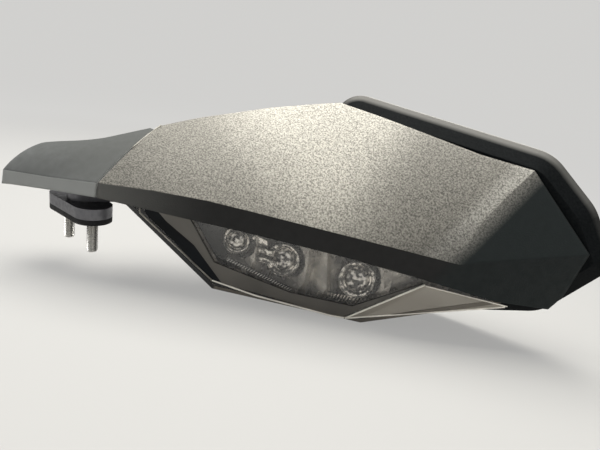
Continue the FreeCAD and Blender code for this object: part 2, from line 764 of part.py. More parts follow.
def above_band_edge(gap):
    """Everything above the slope of the band's lower edge behind the seam."""
    low_inner, low_outer = STATIONS[3], STATIONS[6]
    slope = unit(Vector(low_outer[0] - low_inner[0], 0, low_outer[5] - low_inner[5]))
    return side_of(Vector(low_inner[0], 0, low_inner[5] + gap), Vector(-slope.z, 0, slope.x))


def make_housing_panel():
    """Sloping panel that closes the housing from below, between the seam and the lower shell."""
    slab = above_band_edge(FIT).cut(above_band_edge(FIT + size("panel_thickness")))
    solid = upper_form(WALL + FIT, FORM_FLOOR).common(slab).common(BEYOND_SEAM)
    solid = solid.cut(behind_rim_plane(SHELL_EDGE)).cut(hinge_column(size("hinge_clearance")))
    solid = solid.cut(arm_casting(size("hinge_clearance"))).cut(stay_form(FIT))
    name, first, second, third = LOWER_PLANES[-1]
    normal = plane_normal(first, second, third, LOWER_MIDDLE)
    return largest(solid.common(side_of(first + normal * FIT, normal)))


def make_rim():
    """Flared rim with the plate round the glass and the neck that fits into the shell."""
    depth = size("rim_depth")
    edge = size("rim_edge")
    wall = size("rim_wall")
    step = size("rim_step")
    flare = ruled_solid([rim_edges(step, depth), rim_edges(0.0, edge), rim_edges(0.0, 0.0)])
    hollow = ruled_solid([
        rim_edges(step + wall, depth - wall), rim_edges(wall, edge), rim_edges(wall, -1.0)])
    neck = shell_inside(WALL + FIT).cut(shell_inside(WALL + FIT + wall))
    neck = neck.cut(behind_rim_plane(depth)).common(behind_rim_plane(SHELL_EDGE + size("neck_depth")))
    reach = SHELL_EDGE + size("neck_depth") + FIT
    opening = drawn_out(holder_edges(-size("glass_margin"), reach), reach)
    return flare.fuse(neck).cut(hollow).cut(opening)


def make_lower_shell():
    """Shell under the glass and behind the lens."""
    solid = lower_form(size("lens_wall") + FIT, 0.0)
    solid = solid.cut(lower_form(-WORLD / 4, WALL, 0.0))
    return solid.cut(behind_rim_plane(SHELL_EDGE))


def clear_of_band(shape):
    """The shape, without what would touch the band of the housing above it."""
    band = upper_form(0.0)
    band.translate(UP * -FIT)
    return shape.cut(band.cut(upper_form(WALL + FIT, FORM_FLOOR)))


def make_signal_lens():
    """Clear lens of two flat facets under the band."""
    solid = lower_form(0.0, size("trim_height"), 0.0)
    solid = solid.cut(lower_form(size("lens_wall"), -WORLD / 4, 0.0))
    return largest(clear_of_band(solid).cut(behind_rim_plane(SHELL_EDGE)))


def make_lens_trim():
    """Dark strip that frames the lens below and beside it."""
    solid = lower_form(0.0, 0.0, 0.0).cut(lower_form(-WORLD / 4, size("trim_height") - FIT, 0.0))
    solid = solid.cut(lower_form(size("lens_wall"), -WORLD / 4, 0.0))
    return largest(clear_of_band(solid).cut(behind_rim_plane(SHELL_EDGE)))


# Signal lamps: outward and up of each bowl's middle, and the step that ends beside it.
LAMPS = [
    (80.5, 3.0, 1),
    (102.0, -4.0, 2),
    (135.5, -8.0, 4),
]
STEP_EDGES = [58.0, 91.2, 114.0, 124.5, 152.0]
DIVIDER_BOTTOM = -16.0

# Window of the reflector's frame, outward and up.
WINDOW = [
    (63.5, 20.0),
    (65.1, 11.4),
    (72.7, -10.9),
    (107.2, -21.7),
    (136.3, -23.5),
    (166.0, -0.4),
    (164.0, 20.0),
]
BOWL_FACETS = 16
LENS_NORMAL = plane_normal(LENS_TOP_INNER, LENS_TOP_MIDDLE, LENS_LOW_INNER, LOWER_MIDDLE)


def lens_depth(x, z):
    """How far back the lens face lies at a place seen from the front."""
    across = LENS_TOP_INNER - Vector(x, 0, z)
    return across.dot(LENS_NORMAL) / LENS_NORMAL.y


def step_front(step, z):
    """How far back the front of a step lies, whose outer edge comes nearest to the lens."""
    return lens_depth(STEP_EDGES[step], z) + size("lens_wall") + size("bowl_sunk")


def lamp_seat(outward, up, step):
    """Middle of a bowl's mouth."""
    return Vector(outward, step_front(step, up - size("bowl_radius")), up)


def bowl_form(seat):
    """Faceted bowl that narrows from its mouth to its lamp."""
    mouth = []
    foot = []
    for step in range(BOWL_FACETS):
        angle = 2 * math.pi * step / BOWL_FACETS
        ray = Vector(math.cos(angle), 0, math.sin(angle))
        mouth.append(seat + ray * size("bowl_radius"))
        foot.append(seat + Vector(0, size("bowl_depth"), 0) + ray * size("lamp_radius"))
    faces = [Part.Face(Part.makePolygon(ring + ring[:1])) for ring in (mouth, foot)]
    for i in range(BOWL_FACETS):
        corners = [mouth[i - 1], mouth[i], foot[i], foot[i - 1], mouth[i - 1]]
        faces.append(Part.Face(Part.makePolygon(corners)))
    return Part.makeSolid(Part.Shell(faces))


def make_reflector():
    """Metallised moulding: a frame along the lens, steps behind its window, a bowl for each lamp."""
    wall = size("reflector_wall")
    front_gap = size("lens_wall") + size("reflector_gap")
    side_gap = WALL + size("reflector_gap")
    inside = lower_form(front_gap, side_gap)
    frame = inside.cut(lower_form(front_gap + wall, -WORLD / 4, 0.0))
    outline = [Vector(x, 0, z) for x, z in WINDOW + WINDOW[:1]]
    frame = frame.cut(Part.Face(Part.makePolygon(outline)).extrude(Vector(0, WORLD, 0)))
    depth = size("bowl_depth") + wall
    seats = {step: lamp_seat(outward, up, step) for outward, up, step in LAMPS}
    solid = frame
    back = None
    for step in range(1, len(STEP_EDGES)):
        left, right = STEP_EDGES[step - 1], STEP_EDGES[step]
        front = seats[step].y if step in seats else step_front(step, DIVIDER_BOTTOM)
        block = Part.makeBox(right - left, depth, WORLD, Vector(left, front, -WORLD / 2))
        solid = solid.fuse(block.common(inside))
        if back is not None:
            riser = Part.makeBox(wall, front + depth - back, WORLD, Vector(left - wall, back, -WORLD / 2))
            solid = solid.fuse(riser.common(inside))
        back = front
    divider = Part.makeBox(
        size("divider_wall"), WORLD, WORLD, Vector(STEP_EDGES[3], 0, DIVIDER_BOTTOM))
    divider = divider.common(side_of(Vector(0, back, 0), Vector(0, -1, 0)))
    solid = solid.fuse(divider.common(inside))
    for seat in seats.values():
        solid = solid.cut(bowl_form(seat))
    solid = solid.cut(behind_rim_plane(SHELL_EDGE + size("neck_depth") + FIT))
    return largest(solid.removeSplitter())


def make_lamp(number):
    """Round lens with a flat front in the middle of its bowl."""
    seat = lamp_seat(*LAMPS[number]) + Vector(0, size("bowl_depth"), 0)
    return turned_body(f"lamp_{number + 1}", [
        ("0", "0"),
        ("lamp_radius - lamp_side_gap", "0"),
        ("lamp_radius - lamp_side_gap", "lamp_length"),
        ("0", "lamp_length"),
    ], Placement(seat, Rotation(UP, Vector(0, -1, 0))))


# Glass joint: the stay in the housing, the ball, its liner, the holder and the glass.
GLASS_PLACE = Placement(GLASS_ORIGIN, Rotation(ALONG, UP, REARWARD * -1.0, "XYZ"))
LIP_FACE = "glass_sunk + lip_sunk"
HOLDER_FRONT = "glass_sunk + glass_thickness"
HOLDER_BACK = "glass_sunk + glass_thickness + holder_thickness"
SOCKET_DEPTH = "ball_radius + ball_gap + socket_grip"
BALL_DEPTH = HOLDER_BACK + " + socket_floor + ball_radius + ball_gap"
LINER_INNER = "ball_radius + ball_gap"
LINER_OUTER = "ball_radius + ball_gap + liner_wall"
SOCKET_INNER = "ball_radius + ball_gap + liner_wall + socket_gap"
SOCKET_OUTER = "ball_radius + ball_gap + liner_wall + socket_gap + socket_wall"
BALL = rim_point(size("ball_along"), size("ball_height"), total(BALL_DEPTH))
BALL_PLACE = ("ball_along", "ball_height")
STALK_FOOT = BALL - REARWARD * size("ball_stalk_length")
STAY_END = Vector(STALK_FOOT.x, STALK_FOOT.y, 0)


def stay_form(margin):
    """Room for the flat stay from the hinge barrel to the foot of the ball's stalk."""
    half = size("stay_half_width") + margin
    bottom, top = total(BARREL_BOTTOM) - margin, total(BARREL_TOP) + margin
    solid = bar(spot(HINGE), size("hinge_radius") + margin, spot(KNEE), half, bottom, top)
    return solid.fuse(bar(spot(KNEE), half, STAY_END, half, bottom, top)).removeSplitter()


def draw_ball_stalk(sketch):
    """Half the outline of the ball and its stalk, beside the stalk's axis."""
    radius, flat, stalk = size("ball_radius"), size("ball_flat"), size("ball_stalk_radius")
    foot = -size("ball_stalk_length")
    ball = Part.Circle(Vector(0, 0, 0), UP, radius)
    neck_angle = -math.acos(stalk / radius)
    flat_angle = math.asin(flat / radius)
    neck = Vector(stalk, radius * math.sin(neck_angle), 0)
    rim_of_flat = Vector(radius * math.cos(flat_angle), flat, 0)
    sketch.addGeometry(Part.LineSegment(Vector(0, foot, 0), Vector(stalk, foot, 0)), False)
    sketch.addGeometry(Part.LineSegment(Vector(stalk, foot, 0), neck), False)
    sketch.addGeometry(Part.ArcOfCircle(ball, neck_angle, flat_angle), False)
    sketch.addGeometry(Part.LineSegment(rim_of_flat, Vector(0, flat, 0)), False)
    sketch.addGeometry(Part.LineSegment(Vector(0, flat, 0), Vector(0, foot, 0)), False)
    for before, after in ((0, 1), (1, 2), (2, 3), (3, 4), (4, 0)):
        sketch.addConstraint(Sketcher.Constraint("Coincident", before, 2, after, 1))
    sketch.addConstraint(Sketcher.Constraint("Coincident", 2, 3, -1, 1))
    sketch.addConstraint(Sketcher.Constraint("Vertical", 1))
    sketch.addConstraint(Sketcher.Constraint("Horizontal", 3))
    sketch.addConstraint(Sketcher.Constraint("PointOnObject", 3, 2, -2))
    hold_radius(sketch, 2, "ball_radius")
    hold_point(sketch, 0, 1, ("0", "- ball_stalk_length"))
    hold_point(sketch, 1, 1, ("ball_stalk_radius", "- ball_stalk_length"))
    number = sketch.addConstraint(Sketcher.Constraint("DistanceY", -1, 1, 3, 1, flat))
    sketch.setExpression(f"Constraints[{number}]", "Sizes.ball_flat")


def make_stay():
    """Die-cast stay of the housing: hinge barrel, arm, and the stalk with its ball."""
    body = new_body("stay")
    sketch = new_sketch(body, "XY_Plane", BARREL_BOTTOM)
    draw_bar(sketch, HINGE, "hinge_radius", KNEE, "stay_half_width")
    pad(body, sketch, BARREL_HEIGHT)
    sketch = new_sketch(body, "XY_Plane", BARREL_BOTTOM)
    half = size("stay_half_width")
    added = draw_smooth(sketch, bar_curves(spot(KNEE), half, STAY_END, half))
    hold_point(sketch, added[2], 3, KNEE)
    sketch.addConstraint(Sketcher.Constraint("DistanceX", -1, 1, added[0], 3, STAY_END.x))
    sketch.addConstraint(Sketcher.Constraint("DistanceY", -1, 1, added[0], 3, STAY_END.y))
    hold_radius(sketch, added[0], "stay_half_width")
    hold_radius(sketch, added[2], "stay_half_width")
    pad(body, sketch, BARREL_HEIGHT)
    sketch = new_sketch(body, "XY_Plane")
    sketch.AttachmentOffset = Placement(BALL, Rotation(UP, size("glass_yaw")))
    draw_ball_stalk(sketch)
    revolve(body, sketch)
    sketch = new_sketch(body, "XY_Plane", BARREL_TOP)
    draw_circle(sketch, HINGE, "hinge_pin_radius + pin_play")
    pocket(body, sketch)
    return body


def make_ball_liner():
    """Plastic ring that turns on the ball and tips in the socket."""
    return turned_body("ball_liner", [
        (LINER_INNER, "- liner_half_height"),
        (LINER_OUTER, "- liner_half_height"),
        (LINER_OUTER, "liner_half_height"),
        (LINER_INNER, "liner_half_height"),
    ], Placement(BALL, Rotation(UP, REARWARD)))


def make_glass_holder():
    """Holder plate with the lip round the glass and the socket behind it."""
    body = new_body("glass_holder", GLASS_PLACE)
    sketch = new_sketch(body, "XY_Plane", LIP_FACE)
    draw_rounded(sketch, HOLDER_CORNERS, 0.0)
    pad(body, sketch, "glass_thickness + holder_thickness - lip_sunk")
    sketch = new_sketch(body, "XY_Plane", HOLDER_FRONT)
    draw_rounded(sketch, HOLDER_CORNERS, size("holder_lip"))
    pocket(body, sketch, "glass_thickness")
    sketch = new_sketch(body, "XY_Plane", HOLDER_BACK)
    draw_circle(sketch, BALL_PLACE, SOCKET_OUTER)
    pad(body, sketch, "socket_floor + " + SOCKET_DEPTH + " + snap_lip")
    sketch = new_sketch(body, "XY_Plane", BALL_DEPTH + " + socket_grip")
    draw_circle(sketch, BALL_PLACE, SOCKET_INNER)
    pocket(body, sketch, SOCKET_DEPTH)
    sketch = new_sketch(body, "XY_Plane", BALL_DEPTH + " + socket_grip + snap_lip")
    draw_circle(sketch, BALL_PLACE, LINER_INNER + " + ball_gap")
    pocket(body, sketch, "snap_lip + socket_grip")
    return body


def make_mirror_glass():
    """Mirror glass in its holder."""
    body = new_body("mirror_glass", GLASS_PLACE)
    sketch = new_sketch(body, "XY_Plane", "glass_sunk")
    draw_rounded(sketch, HOLDER_CORNERS, size("holder_lip") + FIT)
    pad(body, sketch, "glass_thickness")
    return body


pieces = [
    make_mount_foot(),
    make_foot_pad(),
    make_stud("stud_inner", INNER_STUD),
    make_stud("stud_outer", OUTER_STUD),
    make_grommet(),
    add_shape("arm_cover", make_arm_cover()),
    add_shape("arm_panel", make_arm_panel()),
    make_hinge_pin(),
    add_shape("housing_cover", make_housing_cover()),
    add_shape("housing_panel", make_housing_panel()),
    add_shape("rim", make_rim()),
    add_shape("lower_shell", make_lower_shell()),
    add_shape("signal_lens", make_signal_lens()),
    add_shape("lens_trim", make_lens_trim()),
    add_shape("reflector", make_reflector()),
    make_stay(),
    make_ball_liner(),
    make_glass_holder(),
    make_mirror_glass(),
]
pieces += [make_lamp(number) for number in range(len(LAMPS))]
doc.recompute()

for item in doc.Objects:
    if "Invalid" in item.State or "Error" in item.State:
        raise RuntimeError(item.Label + " has not been worked out")
for piece in pieces:
    shape = piece.Shape
    if shape.isNull() or not shape.isValid() or len(shape.Solids) != 1:
        raise RuntimeError(piece.Label + " is not one valid solid")
    print(piece.Label, round(shape.Volume))

os.makedirs("parts", exist_ok=True)
for piece in pieces:
    piece.Shape.exportStep(f"parts/{piece.Label}.step")
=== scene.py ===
# %% [markdown]
# # A motorcycle's rear-view mirror in a studio
#
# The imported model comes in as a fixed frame, in metres: X points outward from the
# motorcycle, Y to the rear, where the glass faces, and Z up. The cells below dress it,
# light it and set the camera where the photograph was taken from.

import math

import bmesh
import bpy
from mathutils import Matrix, Vector


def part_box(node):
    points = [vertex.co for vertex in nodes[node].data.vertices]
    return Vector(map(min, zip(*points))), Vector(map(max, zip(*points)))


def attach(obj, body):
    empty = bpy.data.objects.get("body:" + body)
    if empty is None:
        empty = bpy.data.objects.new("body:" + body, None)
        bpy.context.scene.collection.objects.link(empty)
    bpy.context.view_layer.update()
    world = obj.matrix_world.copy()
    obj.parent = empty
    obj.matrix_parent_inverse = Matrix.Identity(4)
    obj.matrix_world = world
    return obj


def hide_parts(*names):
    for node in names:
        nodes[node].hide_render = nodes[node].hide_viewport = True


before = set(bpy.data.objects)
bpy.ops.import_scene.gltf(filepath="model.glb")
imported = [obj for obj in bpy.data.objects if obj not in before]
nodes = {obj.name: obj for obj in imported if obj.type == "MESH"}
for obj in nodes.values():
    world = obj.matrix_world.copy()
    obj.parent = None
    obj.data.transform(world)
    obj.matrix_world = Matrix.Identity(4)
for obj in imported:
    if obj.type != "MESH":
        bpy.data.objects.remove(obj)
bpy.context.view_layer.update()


def rounded(values, digits=3):
    """Values as a short list, to print."""
    return [round(v, digits) for v in values]


# %% [markdown]
# ## Camera
#
# A camera can be aimed by hand or be given three directions of its own. Here the place and
# the directions are known, so they go straight into its matrix. It stands in front of the
# mirror's outer end, just above its top, with a wide lens, and it is rolled a little. The
# last line prints how far it is from the foot and by how many degrees it is rolled.

# %% Camera
CAMERA_PLACE = Vector((0.2390, -0.1214, 0.0879))
CAMERA_RIGHT = Vector((0.774, 0.616, 0.150))
CAMERA_FORWARD = Vector((-0.558, 0.774, -0.298))
LENS_MM = 27.06
SENSOR_MM = 36.0
CLIP_START = 0.01

forward = CAMERA_FORWARD.normalized()
right = (CAMERA_RIGHT - forward * CAMERA_RIGHT.dot(forward)).normalized()
up = right.cross(forward)
camera_data = bpy.data.cameras.new("camera")
camera_data.lens = LENS_MM
camera_data.sensor_width = SENSOR_MM
camera_data.clip_start = CLIP_START
camera = bpy.data.objects.new("camera", camera_data)
bpy.context.scene.collection.objects.link(camera)
camera.matrix_world = Matrix((
    (right.x, up.x, -forward.x, CAMERA_PLACE.x),
    (right.y, up.y, -forward.y, CAMERA_PLACE.y),
    (right.z, up.z, -forward.z, CAMERA_PLACE.z),
    (0, 0, 0, 1),
))
bpy.context.scene.camera = camera
level = forward.cross(Vector((0, 0, 1))).normalized()
roll = math.degrees(right.angle(level))
print("camera", round(CAMERA_PLACE.length, 2), "m from the foot, rolled", round(roll, 1), "degrees")

# %% [markdown]
# ## Material helpers
#
# A shader is built from nodes. The values that are the same all over a surface stand on
# the shader's own sockets, and what changes over it comes from noise in object
# coordinates, which are metres here. A scale of 1000 is thus one grain for each millimetre.
# A colour ramp turns the noise into two tones with a soft change between them.

# %% Helpers for node materials
NOISE_LOW = 0.3
NOISE_HIGH = 0.7


def new_material(name, colour, roughness, **sockets):
    """A principled material with its even values set, and its tree and shader."""
    material = bpy.data.materials.new(name)
    material.use_nodes = True
    tree = material.node_tree
    shader = tree.nodes["Principled BSDF"]
    shader.inputs["Base Color"].default_value = (*colour, 1.0)
    shader.inputs["Roughness"].default_value = roughness
    for socket, value in sockets.items():
        shader.inputs[socket.replace("_", " ")].default_value = value
    return material, tree, shader


def object_coordinates(tree):
    """Object coordinates, in metres."""
    return tree.nodes.new("ShaderNodeTexCoord").outputs["Object"]


def noise(tree, grains, detail=2.0, roughness=0.5):
    """Noise in object coordinates, with so many grains to the metre."""
    texture = tree.nodes.new("ShaderNodeTexNoise")
    texture.inputs["Scale"].default_value = grains
    texture.inputs["Detail"].default_value = detail
    texture.inputs["Roughness"].default_value = roughness
    tree.links.new(object_coordinates(tree), texture.inputs["Vector"])
    return texture.outputs["Fac"]


def ramp(tree, value, low, high, low_colour, high_colour):
    """A colour ramp between two values."""
    node = tree.nodes.new("ShaderNodeValToRGB")
    node.color_ramp.elements[0].position = low
    node.color_ramp.elements[0].color = (*low_colour, 1.0)
    node.color_ramp.elements[1].position = high
    node.color_ramp.elements[1].color = (*high_colour, 1.0)
    tree.links.new(value, node.inputs["Fac"])
    return node.outputs["Color"]


def clouds(tree, grains, dark, pale, detail=2.0):
    """Noise between two tones."""
    return ramp(tree, noise(tree, grains, detail), NOISE_LOW, NOISE_HIGH, dark, pale)


def grey(value):
    """An even grey."""
    return (value, value, value)


def vary_roughness(tree, shader, grains, low, high):
    """Lets the roughness drift between two values."""
    tree.links.new(clouds(tree, grains, grey(low), grey(high)), shader.inputs["Roughness"])


def mottled(name, colour, roughness, grains, dark, pale, detail=2.0, **sockets):
    """A material whose colour drifts between two tones, and its tree and shader."""
    material, tree, shader = new_material(name, colour, roughness, **sockets)
    tree.links.new(clouds(tree, grains, dark, pale, detail), shader.inputs["Base Color"])
    return material, tree, shader


def bump(tree, shader, height, strength, distance):
    """Bump from a height, joined to the shader."""
    node = tree.nodes.new("ShaderNodeBump")
    node.inputs["Strength"].default_value = strength
    node.inputs["Distance"].default_value = distance
    tree.links.new(height, node.inputs["Height"])
    tree.links.new(node.outputs["Normal"], shader.inputs["Normal"])
    return node


def assign(node_names, material):
    """Gives CAD nodes one material in all their slots."""
    for name in node_names:
        slots = nodes[name].data.materials
        if len(slots) == 0:
            slots.append(material)
        for i in range(len(slots)):
            slots[i] = material


print("material helpers ready")

# %% [markdown]
# ## Rounded edges in the shading
#
# Moulded plastic has no knife edge. A bevel modifier would change the mesh, and the packed
# mesh has to stay as it is. The bevel node only turns the normal smoothly round every sharp
# edge, over a radius in metres, and the grain's bump then stands on that normal.

# %% Soft edges and grain on one normal
BEVEL_SAMPLES = 6


def soft_grain(tree, shader, height, strength, distance, edge_radius):
    """Grain as bump over normals that are rounded at the edges."""
    soft = tree.nodes.new("ShaderNodeBevel")
    soft.samples = BEVEL_SAMPLES
    soft.inputs["Radius"].default_value = edge_radius
    node = bump(tree, shader, height, strength, distance)
    tree.links.new(soft.outputs["Normal"], node.inputs["Normal"])


print("bevel samples:", BEVEL_SAMPLES)

# %% [markdown]
# ## Masks from places and directions
#
# Several pieces carry two finishes that meet on a straight line. An image would need a
# flat map of the piece. A plane in object coordinates needs none: the dot product with a
# direction says how far a point lies along it, and a map range turns that into a mask.
# The same product with the surface normal says how far a face is turned to a direction.

# %% Helpers for masks
UP = (0.0, 0.0, 1.0)
OUTWARD = (1.0, 0.0, 0.0)


def along(tree, source, direction):
    """The dot product of a vector socket with a direction."""
    dot = tree.nodes.new("ShaderNodeVectorMath")
    dot.operation = "DOT_PRODUCT"
    tree.links.new(source, dot.inputs[0])
    dot.inputs[1].default_value = direction
    return dot.outputs["Value"]


def place_along(tree, direction):
    """How far a point lies along a direction."""
    return along(tree, object_coordinates(tree), direction)


def facing(tree, direction):
    """1 where a face is turned to a direction, 0 where it stands square to it."""
    geometry = tree.nodes.new("ShaderNodeNewGeometry")
    return along(tree, geometry.outputs["Normal"], direction)


def share_between(tree, value, start, end, interpolation="SMOOTHSTEP", low=0.0, high=1.0):
    """A low value before the start, a high one after the end, and a share between them."""
    node = tree.nodes.new("ShaderNodeMapRange")
    node.interpolation_type = interpolation
    node.inputs["From Min"].default_value = start
    node.inputs["From Max"].default_value = end
    node.inputs["To Min"].default_value = low
    node.inputs["To Max"].default_value = high
    tree.links.new(value, node.inputs["Value"])
    return node.outputs["Result"]


def beyond_plane(tree, point, normal, softness):
    """0 on one side of a plane and 1 on the side to which its normal points."""
    middle = Vector(point).dot(Vector(normal))
    return share_between(tree, place_along(tree, normal), middle - softness, middle + softness, "LINEAR")


def near_plane(tree, point, normal, far, near):
    """0 farther behind a plane than one distance, and 1 nearer than another, in metres."""
    middle = Vector(point).dot(Vector(normal))
    return share_between(tree, place_along(tree, normal), middle + far, middle + near)


def blend_colours(tree, factor, first, second, blend_type="MIX"):
    """Mix of two colours, by a factor that may be a number or a socket."""
    mix = tree.nodes.new("ShaderNodeMix")
    mix.data_type = "RGBA"
    mix.blend_type = blend_type
    for socket, value in (("Factor", factor), ("A", first), ("B", second)):
        if isinstance(value, bpy.types.NodeSocket):
            tree.links.new(value, mix.inputs[socket])
        elif socket == "Factor":
            mix.inputs[socket].default_value = value
        else:
            mix.inputs[socket].default_value = (*value, 1.0)
    return mix.outputs["Result"]


def multiply(tree, first, second):
    """One colour or mask times another."""
    return blend_colours(tree, 1.0, first, second, "MULTIPLY")


print("mask helpers ready")

# %% [markdown]
# ## Painted sheen of the housing
#
# The housing is moulded in one black plastic with a coarse grain. Its top is pale from the
# light from above that the grain scatters, most of all near its middle. Bump alone can't show
# that at this size, so the sheen is painted into the colour. One row follows the climb of the
# roof and the other the way outward, and each pairs a place along it with a painted tone.

# %% Painted sheen by place
HOUSING_DARK = (0.0185, 0.0185, 0.0185)
SHEEN_TINT = (1.0, 0.965, 0.865)
CLIMB = (0.5, 0.3, 0.8)
CLIMB_SHEEN = (
    (0.040, 0.120), (0.060, 0.200), (0.080, 0.220), (0.092, 0.320), (0.112, 0.450), (0.135, 0.420),
)
OUTWARD_SHEEN = ((0.110, 1.0), (0.122, 0.98), (0.136, 0.60), (0.150, 0.46), (0.200, 0.46))


def sheen_along(tree, direction, tones, tint):
    """A tint whose strength follows tones given by place along a direction."""
    first, last = tones[0][0], tones[-1][0]
    node = tree.nodes.new("ShaderNodeValToRGB")
    node.color_ramp.interpolation = "B_SPLINE"
    elements = node.color_ramp.elements
    while len(elements) < len(tones):
        elements.new(0.5)
    for element, (distance, tone) in zip(elements, tones):
        element.position = (distance - first) / (last - first)
        element.color = (tone * tint[0], tone * tint[1], tone * tint[2], 1.0)
    share = share_between(tree, place_along(tree, direction), first, last, "LINEAR")
    tree.links.new(share, node.inputs["Fac"])
    return node.outputs["Color"]


print("tones:", len(CLIMB_SHEEN), "up the roof,", len(OUTWARD_SHEEN), "outward")

# %% [markdown]
# ## Grained plastic of the housing
#
# The band under the crease and the facets of the outer end stand upright and stay nearly
# black, and the band is a little paler at its inner end. How far a face is turned up tells
# the top, which takes the painted sheen, from the band. A plane through the two ends of the
# facet's border tells the top from the facet, and close to that border the top takes an even
# painted highlight, where its rounded edge catches the light.

# %% Grained black plastic
FACET_DARK = (0.0145, 0.0190, 0.0195)
FACET_CORNER = (0.1798, 0.0947, 0.0152)
FACET_BORDER_NORMAL = (0.786, 0.284, -0.549)
BAND_PALE = (0.130, 0.130, 0.124)
BAND_PALE_START = 0.014
BAND_PALE_END = 0.080
BORDER_HIGHLIGHT = (0.33, 0.322, 0.295)
BORDER_NEAR = -0.008
BORDER_FAR = -0.017
BORDER_SOFTNESS = 0.0038
FACING_LOW = 0.22
FACING_HIGH = 0.46
HOUSING_GRAINS = 1150.0
HOUSING_GRAIN_DEPTH = 0.00022
HOUSING_EDGE_RADIUS = 0.0012


def finish_grain(tree, shader, shade, grains, depth, edge_radius):
    """Joins colour, roughness and grain to the shader."""
    tree.links.new(shade, shader.inputs["Base Color"])
    vary_roughness(tree, shader, 260.0, 0.52, 0.68)
    soft_grain(tree, shader, noise(tree, grains, 3.0, 0.6), 0.5, depth, edge_radius)


HOUSING_BLACK, tree, shader = new_material("grained_black", HOUSING_DARK, 0.62, Specular_IOR_Level=0.2)
band_share = share_between(tree, place_along(tree, OUTWARD), BAND_PALE_START, BAND_PALE_END)
band = blend_colours(tree, band_share, BAND_PALE, HOUSING_DARK)
# The top's pale tones are painted sheen, given by place up the roof and outward.
top = sheen_along(tree, CLIMB, CLIMB_SHEEN, SHEEN_TINT)
top = multiply(tree, top, sheen_along(tree, OUTWARD, OUTWARD_SHEEN, grey(1.0)))
# A painted highlight along the facet's rounded border, in an even pale tone.
border = near_plane(tree, FACET_CORNER, FACET_BORDER_NORMAL, BORDER_FAR, BORDER_NEAR)
top = blend_colours(tree, border, top, BORDER_HIGHLIGHT)
speckle = ramp(tree, noise(tree, HOUSING_GRAINS, 2.5, 0.7), 0.38, 0.62, grey(0.50), grey(1.45))
top = multiply(tree, top, speckle)
# Only faces turned up take the painted sheen; the upright band keeps its own dark colour.
sheen_mask = ramp(tree, facing(tree, UP), FACING_LOW, FACING_HIGH, grey(0.0), grey(1.0))
shade = blend_colours(tree, sheen_mask, band, top)
facet_side = beyond_plane(tree, FACET_CORNER, FACET_BORDER_NORMAL, BORDER_SOFTNESS)
shade = blend_colours(tree, facet_side, shade, FACET_DARK)
finish_grain(tree, shader, shade, HOUSING_GRAINS, HOUSING_GRAIN_DEPTH, HOUSING_EDGE_RADIUS)
assign(["housing_cover"], HOUSING_BLACK)
print("material:", HOUSING_BLACK.name)

# %% [markdown]
# ## Smooth grey of the arm
#
# The arm's cover is moulded in a finer plastic with almost no grain. Its lip catches the
# light and its top is darker, so the same mask as on the housing sets the two tones.

# %% Arm plastic
ARM_LIP = (0.305, 0.315, 0.31)
ARM_TOP = (0.056, 0.060, 0.058)
ARM_GRAINS = 3200.0
ARM_GRAIN_DEPTH = 0.00004
ARM_EDGE_RADIUS = 0.0015

ARM_GREY, tree, shader = new_material("smooth_dark_grey", ARM_LIP, 0.62, Specular_IOR_Level=0.4)
shade = ramp(tree, facing(tree, UP), FACING_LOW, FACING_HIGH, ARM_LIP, ARM_TOP)
finish_grain(tree, shader, shade, ARM_GRAINS, ARM_GRAIN_DEPTH, ARM_EDGE_RADIUS)
assign(["arm_cover"], ARM_GREY)
print("material:", ARM_GREY.name)

# %% [markdown]
# ## Plain blacks
#
# The holder of the glass is satin, the panels underneath are matt, the lower shell is
# glossy, and the pad and the grommet are rubber. They differ only in how rough they are
# and how fine their skin is, so one function makes all four, and each drifts a little in
# tone and roughness, as a moulded part does.

# %% Satin, matt and gloss black, and rubber
PLASTIC_EDGE_RADIUS = 0.0008


def fine_plastic(name, colour, roughness, grains, depth):
    """Plain moulded plastic with a fine skin, its edges a little round."""
    material, tree, shader = mottled(
        name, colour, roughness, grains=90.0, dark=[c * 0.8 for c in colour],
        pale=[c * 1.3 for c in colour], Specular_IOR_Level=0.35)
    vary_roughness(tree, shader, 140.0, roughness * 0.85, roughness * 1.2)
    soft_grain(tree, shader, noise(tree, grains, 2.0), 0.3, depth, PLASTIC_EDGE_RADIUS)
    return material


SATIN = fine_plastic("satin_black", (0.010, 0.011, 0.012), 0.34, 2600.0, 0.00003)
MATT = fine_plastic("matt_black", (0.010, 0.010, 0.011), 0.62, 2600.0, 0.00005)
GLOSS = fine_plastic("gloss_black", (0.006, 0.006, 0.007), 0.12, 500.0, 0.00001)
RUBBER = fine_plastic("rubber", (0.014, 0.014, 0.015), 0.75, 1500.0, 0.0001)
assign(["glass_holder", "ball_liner"], SATIN)
assign(["housing_panel", "arm_panel"], MATT)
assign(["lower_shell"], GLOSS)
assign(["foot_pad", "wire_grommet"], RUBBER)
print("blacks:", SATIN.name, MATT.name, GLOSS.name, RUBBER.name)

# %% [markdown]
# ## The rim's pale rear edge
#
# The rim is matt black, and only a narrow strip along its upper rear edge is turned up
# enough to catch the light. The rear plane of the rim stands 12 degrees off square, so the
# distance from that plane picks the strip out. Two more masks keep it to faces that are
# turned up and to the part above a set height, where the light reaches it.

# %% Rim with a pale edge
REARWARD = (-0.2079, 0.9781, 0.0)
RIM_REAR_PLACE = (0.105, 0.1229, 0.0)
RIM_STRIP = 0.0062
RIM_STRIP_TONE = (0.32, 0.315, 0.30)
RIM_STRIP_SOFTNESS = 0.0009
RIM_STRIP_FLOOR = 0.025
RIM_FLOOR_SOFTNESS = 0.004

